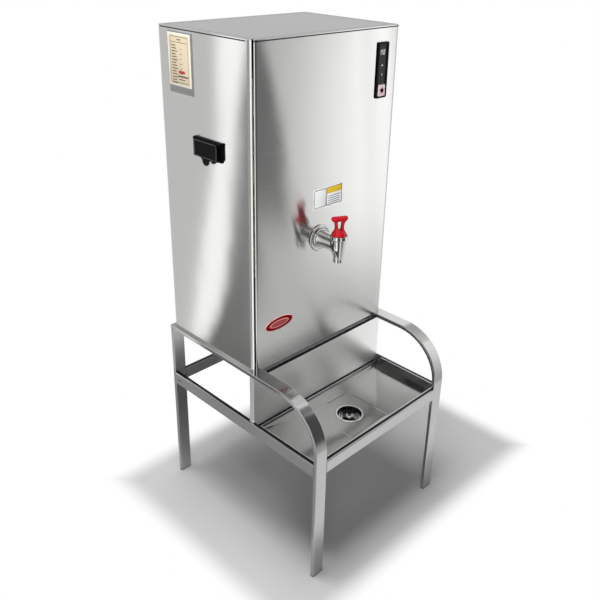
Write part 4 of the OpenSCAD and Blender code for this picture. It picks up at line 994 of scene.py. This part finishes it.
class URN_OT_labels(bpy.types.Operator):
    """Builds the bare plate, sticker and badge"""

    bl_idname = "urn.labels"
    bl_label = "Labels"

    def execute(self, context):
        self.plate()
        self.sticker()
        self.badge()
        return {"FINISHED"}

    def flat(self, name, material, slot, place, size, thick=0.03, r=1.0, replaced=()):
        """One printed field or film with round corners."""
        mesh = slab(name, outline_box(*size, r), place, thick, edge=0.04)
        add_piece(name, mesh, material, "urn", slot, *replaced)

    def plate(self):
        """Bare rating plate on the left side, with ruled lines and a red bar."""
        low, high, mid = size_of("label_plate")
        wide, tall = high.y - low.y, high.z - low.z
        base_h, field_h = 0.3, 0.06
        at = facing("left", high.x, mid.y, mid.z)
        # a darker grey patch behind the plate, reaching well past its lower edge and past its front
        # edge
        film = plain("plate patch grey", (0.26, 0.265, 0.255), 0.4, metallic=0.6)
        self.flat("look_plate_grey_patch", film, "side_steel", shifted(at, 3.5, -5.5),
                  (wide + 7, tall + 16), field_h)
        white = plain("plate border", (0.78, 0.75, 0.66), 0.5, specular=0.3)
        self.flat("look_plate", white, "plate_cream", at, (wide, tall), base_h,
                  replaced=("label_plate",))
        cream = plain("plate cream", (0.68, 0.58, 0.42), 0.5, specular=0.3)
        self.flat("look_plate_field", cream, "plate_cream", shifted(at, 0, 0, base_h),
                  (wide - 8, tall - 8), field_h)
        # ruled lines: frame, heading, two columns and a foot
        half_w, half_h = wide / 2 - 5, tall / 2 - 5
        rules = [(0, half_h - 2, 2 * half_w - 6, 0.9), (0, half_h - 12, 2 * half_w - 6, 0.9),
                 (half_w - 3, 0, 0.7, 2 * half_h - 4), (3 - half_w, 0, 0.7, 2 * half_h - 4),
                 (0, 2 - half_h, 2 * half_w - 6, 0.9), (0, half_h - 7, 12, 1.8)]
        rules += [(-half_w + 13 + 1.2 * (i % 3), half_h - 18 - 5.3 * i, 13 + 2.4 * (i % 3), 1.7)
                  for i in range(14)]
        rules += [(5, half_h - 24 - 9 * i, 5 + 2 * (i % 2), 1.0) for i in range(7)]
        rules += [(half_w - 20, -half_h + 14, 32, 2.6), (half_w - 24, -half_h + 8, 22, 1.4)]
        ink = plain("plate ruling", (0.07, 0.05, 0.03), 0.6, specular=0.2)
        mesh = bars("look_plate_rules", shifted(at, 0, 0, base_h + field_h), rules, 0.03)
        add_piece("look_plate_rules", mesh, ink, "urn", "plate_cream")
        red = plain("plate red", (0.5, 0.02, 0.03), 0.5)
        self.flat("look_plate_bar", red, "badge_red",
                  shifted(at, 6, 22 - half_h, base_h + field_h), (20, 5.5), r=2.5)

    def sticker(self):
        """Bare sticker above the tap: two outlined fields, a yellow block and ruled lines."""
        low, high, mid = size_of("blank_sticker")
        wide, tall = high.x - low.x, high.z - low.z
        base_h = 0.3
        at = facing("front", mid.x, high.y, mid.z)
        white = plain("sticker white", (0.8, 0.8, 0.79), 0.5, specular=0.3)
        self.flat("look_sticker", white, "sticker_white", at, (wide, tall), base_h,
                  replaced=("blank_sticker",))
        ink = plain("sticker outline", (0.03, 0.03, 0.032), 0.5, specular=0.2)
        field = plain("sticker field", (0.8, 0.81, 0.81), 0.5, specular=0.3)
        split, margin = 0.44 * wide, 0.6
        rest = wide - split
        left_mid, right_mid = (split - wide) / 2 + margin, (wide - rest) / 2 - margin
        for name, centre, span in (("left", left_mid, split - margin),
                                   ("right", right_mid, rest - margin)):
            self.flat("look_sticker_line_" + name, ink, "sticker_white",
                      shifted(at, centre, 0, base_h), (span - 1.4, tall - 4.4), r=2.0)
            self.flat("look_sticker_" + name, field, "sticker_white",
                      shifted(at, centre, 0, base_h + 0.03), (span - 4.2, tall - 7.2), 0.02,
                      r=1.4)
        yellow = plain("sticker yellow", (0.7, 0.46, 0.015), 0.5, specular=0.3)
        self.flat("look_sticker_block", yellow, "sticker_white",
                  shifted(at, right_mid, 0.275 * tall, base_h + 0.05), (rest - 5, 0.29 * tall),
                  r=0.5)
        rules = [(right_mid + margin - 1 - 1.5 * (i % 2), -0.5 - 4.6 * i,
                  rest - 11 - 3 * (i % 2), 1.5) for i in range(4)]
        blue = plain("sticker ruling", (0.06, 0.08, 0.13), 0.5)
        mesh = bars("look_sticker_rules", shifted(at, 0, 0, base_h + 0.05), rules, 0.03, r=0.6)
        add_piece("look_sticker_rules", mesh, blue, "urn", "sticker_white")

    def badge(self):
        """Bare oval badge: rim, dark edge, red band, pale line and field."""
        low, high, mid = size_of("badge")
        # the printed film stands past its pressed base above and below
        film, end_share, band_end = 5.5, 1.7, 5.0
        half_w, half_h = (high.x - low.x) / 2, (high.z - low.z) / 2 + film
        pale = plain("badge pale", (0.8, 0.52, 0.49), 0.5, specular=0.1)
        dark = plain("badge dark red", (0.14, 0.0, 0.002), 0.5, specular=0.02)
        red = plain("badge red", (0.26, 0.0, 0.006), 0.5, specular=0.02)
        soft = plain("badge soft red", (0.42, 0.07, 0.075), 0.5, specular=0.05)
        for name, mat, inset, rise, thick, nodes in (
            ("look_badge_rim", pale, 0.0, 0.0, 0.9, ("badge",)),
            ("look_badge_edge", dark, 2.0, 0.6, 0.45, ()),
            ("look_badge", red, 3.6, 0.8, 0.35, ()),
            ("look_badge_line", pale, 7.6, 1.0, 0.2, ()),
            ("look_badge_field", soft, 9.0, 1.1, 0.15, ()),
        ):
            # the red band is broader at both ends
            ends = inset * (end_share if inset > band_end else 1.0)
            mesh = slab(name, oval(half_w - ends, half_h - inset, 96),
                        facing("front", mid.x, high.y - rise, mid.z), thick, edge=0.6 * thick)
            add_piece(name, mesh, mat, "urn", "badge_red", *nodes)


def step_up(a, b, x):
    """0 below a, 1 above b, eased between."""
    t = np.clip((np.asarray(x, float) - a) / (b - a), 0, 1)
    return t * t * (3 - 2 * t)


def band(a, b, soft, x):
    """1 between a and b, eased off over soft on both sides."""
    return step_up(a - soft, a + soft, x) * (1 - step_up(b - soft, b + soft, x))


def front_cloth(a, h):
    """Glow of the cloth in front: pale, brighter to the right, a dark flag on its left.

    a is the azimuth in degrees and h the height in metres, as in side_cloth.
    """
    # pale cloth with upright streaks that lean a little
    pale = 0.74 + 0.68 * step_up(-62, -42, a) * step_up(0.1, 0.5, h)
    lean = a + 5.0 * (h - 0.9)
    pale = pale + 0.12 * band(-45.5, -44.2, 0.8, lean) - 0.13 * band(-43.2, -42.2, 0.6, lean)
    pale = pale + 0.16 * band(-40.6, -38.4, 0.7, lean) - 0.2 * step_up(-38.2, -37.2, lean)
    pale = pale - 0.1 * (1 - step_up(0.0, 0.3, h))
    # dark flag, its edge further left the higher it is
    edge = np.interp(h, (0.35, 0.65, 0.84, 0.94, 1.05), (-58.2, -58.8, -60.8, -63.4, -66.5))
    flag = 0.11 + 0.1 * step_up(1.0, 3.6, edge - a) - 0.06 * band(-63.6, -62.6, 0.6, a)
    shade = (1 - step_up(-0.9, 0.8, a - edge)) * step_up(0.34, 0.47, h)
    shade = np.maximum(shade, (1 - step_up(-65.2, -63.4, a)) * step_up(0.16, 0.34, h))
    glow = pale * (1 - shade) + flag * shade
    # grey above the urn's height
    upper, upper_glow = band(-80, -46, 2.5, a) * step_up(1.03, 1.10, h), 0.28
    return glow * (1 - upper) + upper_glow * upper


def side_cloth(a, h):
    """Glow of the cloth on the left: a bright sweep between a dark flag and grey."""
    low = np.interp(h, (0.0, 0.1, 0.2, 0.4, 0.75, 0.95), (137.2, 139.2, 141.0, 142.8, 144.6, 146.8))
    high = np.interp(h, (0.0, 0.2, 0.4, 0.55, 0.7), (133.4, 135.4, 137.2, 138.8, 140.8))
    glow = 0.76 + 0.08 * band(133.5, 136.0, 0.8, a) * step_up(0.8, 0.9, h)
    glow = glow + (1.52 - glow) * step_up(-1.2, 1.2, a - high)
    core = band(0.4, 2.2, 0.8, a - low) * (1 - step_up(0.15, 0.3, h))
    flag = 0.24 - 0.12 * core + 0.1 * step_up(146.0, 148.0, a)
    shade = step_up(-1.6, 1.5, a - low)
    return glow * (1 - shade) + flag * shade


class URN_OT_stage(bpy.types.Operator):
    """Sets up the camera, the pale floor and the soft studio light"""

    bl_idname = "urn.stage"
    bl_label = "Stage"

    def execute(self, context):
        scene = context.scene
        studio = scene.urn_studio
        scene.view_settings.view_transform = "Standard"
        self.camera(scene, studio)
        self.floor(scene, studio)
        self.world(scene, studio)
        self.tent(scene)
        self.floor_cloths(scene)
        self.lamp(scene, "overhead", studio.overhead, 1.2, (-0.33, 0.1, 2.6), (0.0, 0.0, 0.4))
        self.lamp(scene, "front", studio.front, 0.8, (-1.35, -1.35, 1.35), (0.0, 0.0, 0.88),
                  spread=44.0)
        return {"FINISHED"}

    def camera(self, scene, studio):
        """Camera before the urn's left front corner, a little above it."""
        lens = bpy.data.cameras.new("camera")
        lens.lens = studio.lens
        lens.sensor_width = 36.0
        lens.shift_x, lens.shift_y = studio.shift
        camera = bpy.data.objects.new("camera", lens)
        camera.location = studio.eye
        camera.rotation_euler = studio.turn
        scene.collection.objects.link(camera)
        scene.camera = camera

    def floor(self, scene, studio):
        """Pale floor that fades to plain white away from the stand."""
        far = 40.0
        mesh = bpy.data.meshes.new("floor")
        mesh.from_pydata([(-far, -far, 0), (far, -far, 0), (far, far, 0), (-far, far, 0)], [],
                         [(0, 1, 2, 3)])
        mat, tree, shader = surface("floor")
        tone, soft = studio.floor_tone, studio.sheet_soft
        fill(shader, {"Base Color": (tone, tone, tone, 1), "Roughness": 0.9,
                      "Specular IOR Level": 0.0})
        white = node(tree, "ShaderNodeEmission", {"Color": (1, 1, 1, 1)})
        place = node(tree, "ShaderNodeNewGeometry")
        split = node(tree, "ShaderNodeSeparateXYZ")
        wire(place, "Position", split, "Vector")
        # how far outside the sheet a point lies: the greatest of its four sides
        outside = None
        for axis, low, high in zip("XY", studio.sheet_low, studio.sheet_high):
            for edge, way in ((low, -1), (high, 1)):
                fade = node(tree, "ShaderNodeMapRange",
                            {"From Min": edge - way * soft / 2, "From Max": edge + way * soft / 2},
                            interpolation_type="SMOOTHSTEP")
                wire(split, axis, fade, "Value")
                most = node(tree, "ShaderNodeMath", {0: 0.0}, operation="MAXIMUM")
                wire(fade, "Result", most, 1)
                if outside:
                    wire(outside, "Value", most, 0)
                outside = most
        # diffuse rays meet the plain floor everywhere
        path = node(tree, "ShaderNodeLightPath")
        seen = node(tree, "ShaderNodeMath", {0: 1.0}, operation="SUBTRACT", use_clamp=True)
        share = node(tree, "ShaderNodeMath", operation="MULTIPLY")
        mix = node(tree, "ShaderNodeMixShader")
        wire(path, "Is Diffuse Ray", seen, 1)
        wire(outside, "Value", share, 0)
        wire(seen, "Value", share, 1)
        wire(share, "Value", mix, "Fac")
        wire(shader, "BSDF", mix, 1)
        wire(white, "Emission", mix, 2)
        wire(mix, "Shader", tree.nodes["Material Output"], "Surface")
        mesh.materials.append(mat)
        floor = bpy.data.objects.new("floor", mesh)
        scene.collection.objects.link(floor)

    def world(self, scene, studio):
        """White where it is seen; for diffuse light, brighter overhead."""
        world = bpy.data.worlds.new("studio")
        world.use_nodes = True
        scene.world = world
        tree = world.node_tree
        back = tree.nodes["Background"]
        fill(back, {"Color": (1, 1, 1, 1), "Strength": 1.0})
        light = node(tree, "ShaderNodeBackground")
        coord = node(tree, "ShaderNodeTexCoord")
        split = node(tree, "ShaderNodeSeparateXYZ")
        rise = node(tree, "ShaderNodeMapRange",
                    {"From Min": 0.0, "From Max": 1.0, "To Min": studio.level_light,
                     "To Max": studio.sky_light})
        wire(coord, "Generated", split, "Vector")
        wire(split, "Z", rise, "Value")
        wire(rise, "Result", light, "Strength")
        path = node(tree, "ShaderNodeLightPath")
        mix = node(tree, "ShaderNodeMixShader")
        wire(path, "Is Diffuse Ray", mix, "Fac")
        wire(back, "Background", mix, 1)
        wire(light, "Background", mix, 2)
        wire(mix, "Shader", tree.nodes["World Output"], "Surface")

    def tent(self, scene):
        """Round light tent seen only in reflections, with bright and dark cloths."""
        top, lowest, faintest = 1.75, 0.002, 0.02
        columns, rows = 1080, 220
        turn = np.linspace(-180, 180, columns, endpoint=False)
        rise = np.linspace(lowest, top, rows)
        a, h = (v.ravel() for v in np.meshgrid(turn, rise, indexing="ij"))
        points = np.stack([TENT_X + TENT_R * np.cos(np.radians(a)),
                           TENT_Y + TENT_R * np.sin(np.radians(a)), h], 1)
        # round the tent: degrees and glow
        glow = np.interp(a, (-180, -168, -164, -148, -144, -114, -111, -103, -100, -68, -34,
                             -10, 26, 75, 100, 124, 128, 149, 156, 180),
                         (0.5, 0.36, 1.6, 1.6, 0.1, 0.1, 1.4, 1.4, 0.1, 0.1, 1.0,
                          0.7, 0.6, 0.6, 0.95, 0.8, 0.76, 0.42, 0.5, 0.5))
        glow = glow + 0.75 * band(8, 24, 2, a) * (1 - step_up(0.9, 0.96, h))
        # the two cloths that the front and the left side mirror, and a mid grey foot
        share = band(-65.8, -36.0, 0.8, a)
        glow = glow * (1 - share) + front_cloth(a, h) * share
        share = band(129, 148, 1.2, a)
        glow = glow * (1 - share) + side_cloth(a, h) * share
        share, foot_glow = band(-99, -62, 3, a) * (1 - step_up(0.1, 0.3, h)), 0.62
        glow = glow * (1 - share) + foot_glow * share
        mesh = bpy.data.meshes.new("tent")
        index = np.arange(columns * rows).reshape(columns, rows)
        after = np.roll(index, -1, axis=0)
        faces = np.stack([index[:, :-1], after[:, :-1], after[:, 1:], index[:, 1:]], -1)
        mesh.from_pydata(points.tolist(), [], faces.reshape(-1, 4).tolist())
        layer = mesh.attributes.new("glow", "FLOAT", "POINT")
        layer.data.foreach_set("value", np.maximum(glow, faintest).astype(np.float32))
        mat, tree, shader = surface("tent cloth")
        tree.nodes.remove(shader)
        light = node(tree, "ShaderNodeEmission", {"Color": (1, 1, 1, 1)})
        level = node(tree, "ShaderNodeAttribute", attribute_name="glow")
        wire(level, "Fac", light, "Strength")
        wire(light, "Emission", tree.nodes["Material Output"], "Surface")
        mesh.materials.append(mat)
        self.mirror_only(scene, "tent", mesh)

    def floor_cloths(self, scene):
        """Cloths on the floor, seen only in reflections."""
        # narrow and dark, from the tent's wall inwards: a dark line for polished rounds
        start, end, near = -141, -129, 0.5
        sector = [(TENT_X + r * math.cos(math.radians(t)), TENT_Y + r * math.sin(math.radians(t)))
                  for r, t in ((near, start), (near, end), (TENT_R - 0.01, end),
                               (TENT_R - 0.01, start))]
        self.cloth(scene, "floor_cloth", "dark cloth", sector, 0.002,
                   {"Base Color": (0.02, 0.02, 0.02, 1), "Roughness": 0.9})
        # grey beside the left bar, and darker beyond it for the foot of the left side
        for name, finish, far_x, near_x, front_y, back_y, height, glow in (
            ("side_floor_cloth", "grey cloth", -0.6, -0.25, -0.16, 0.62, 0.0015, 0.4),
            ("side_floor_dark", "deep grey cloth", -0.84, -0.52, 0.3, 0.72, 0.0025, 0.16),
        ):
            corners = [(far_x, front_y), (near_x, front_y), (near_x, back_y), (far_x, back_y)]
            self.cloth(scene, name, finish, corners, height,
                       {"Base Color": (0.0, 0.0, 0.0, 1), "Emission Color": (1, 1, 1, 1),
                        "Emission Strength": glow})

    def cloth(self, scene, name, finish, corners, height, inputs):
        """One flat cloth over four corners."""
        mesh = bpy.data.meshes.new(name)
        mesh.from_pydata([(x, y, height) for x, y in corners], [], [(0, 1, 2, 3)])
        mat, _, shader = surface(finish)
        fill(shader, inputs)
        mesh.materials.append(mat)
        self.mirror_only(scene, name, mesh)

    def mirror_only(self, scene, name, mesh):
        """Adds a stage piece that shows only in reflections and casts no shadow."""
        piece = bpy.data.objects.new(name, mesh)
        for ray in ("camera", "diffuse", "transmission", "volume_scatter", "shadow"):
            setattr(piece, "visible_" + ray, False)
        scene.collection.objects.link(piece)

    def lamp(self, scene, name, power, size, place, aim, spread=180.0):
        """A soft square light that shows in no reflection."""
        light = bpy.data.lights.new(name, "AREA")
        light.shape = "SQUARE"
        light.size = size
        light.energy = power
        light.spread = math.radians(spread)
        lamp = bpy.data.objects.new(name, light)
        lamp.location = place
        lamp.rotation_euler = (Vector(aim) - lamp.location).to_track_quat("-Z", "Y").to_euler()
        lamp.visible_glossy = False
        scene.collection.objects.link(lamp)


class URN_PT_panel(bpy.types.Panel):
    """Sidebar panel that lists the steps"""

    bl_label = "Hot Water Urn"
    bl_idname = "URN_PT_panel"
    bl_space_type = "VIEW_3D"
    bl_region_type = "UI"
    bl_category = "Urn"

    def draw(self, context):
        scene = context.scene
        for group in (scene.urn_steel, scene.urn_tap, scene.urn_studio):
            column = self.layout.column()
            for key in group.bl_rna.properties.keys():
                if key not in ("rna_type", "name"):
                    column.prop(group, key)
        for operator in STEPS:
            self.layout.operator(operator.bl_idname)


STEPS = (
    URN_OT_stand, URN_OT_sink, URN_OT_cabinet, URN_OT_fittings, URN_OT_tap, URN_OT_handle,
    URN_OT_strip, URN_OT_breaker, URN_OT_labels, URN_OT_stage,
)
GROUPS = {
    "urn_steel": UrnSteelSettings, "urn_tap": UrnTapSettings, "urn_studio": UrnStudioSettings,
}


def register():
    """Registers the settings, the steps and the panel."""
    for group in GROUPS.values():
        bpy.utils.register_class(group)
    for key, group in GROUPS.items():
        setattr(bpy.types.Scene, key, bpy.props.PointerProperty(type=group))
    for operator in STEPS:
        bpy.utils.register_class(operator)
    bpy.utils.register_class(URN_PT_panel)


def unregister():
    """Takes back what register does."""
    bpy.utils.unregister_class(URN_PT_panel)
    for operator in reversed(STEPS):
        bpy.utils.unregister_class(operator)
    for key in GROUPS:
        delattr(bpy.types.Scene, key)
    for group in GROUPS.values():
        bpy.utils.unregister_class(group)


def build():
    """Runs every step."""
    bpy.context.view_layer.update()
    register()
    bpy.ops.urn.stand()
    bpy.ops.urn.sink()
    bpy.ops.urn.cabinet()
    bpy.ops.urn.fittings()
    bpy.ops.urn.tap()
    bpy.ops.urn.handle()
    bpy.ops.urn.strip()
    bpy.ops.urn.breaker()
    bpy.ops.urn.labels()
    bpy.ops.urn.stage()


if __name__ == "__main__":
    build()
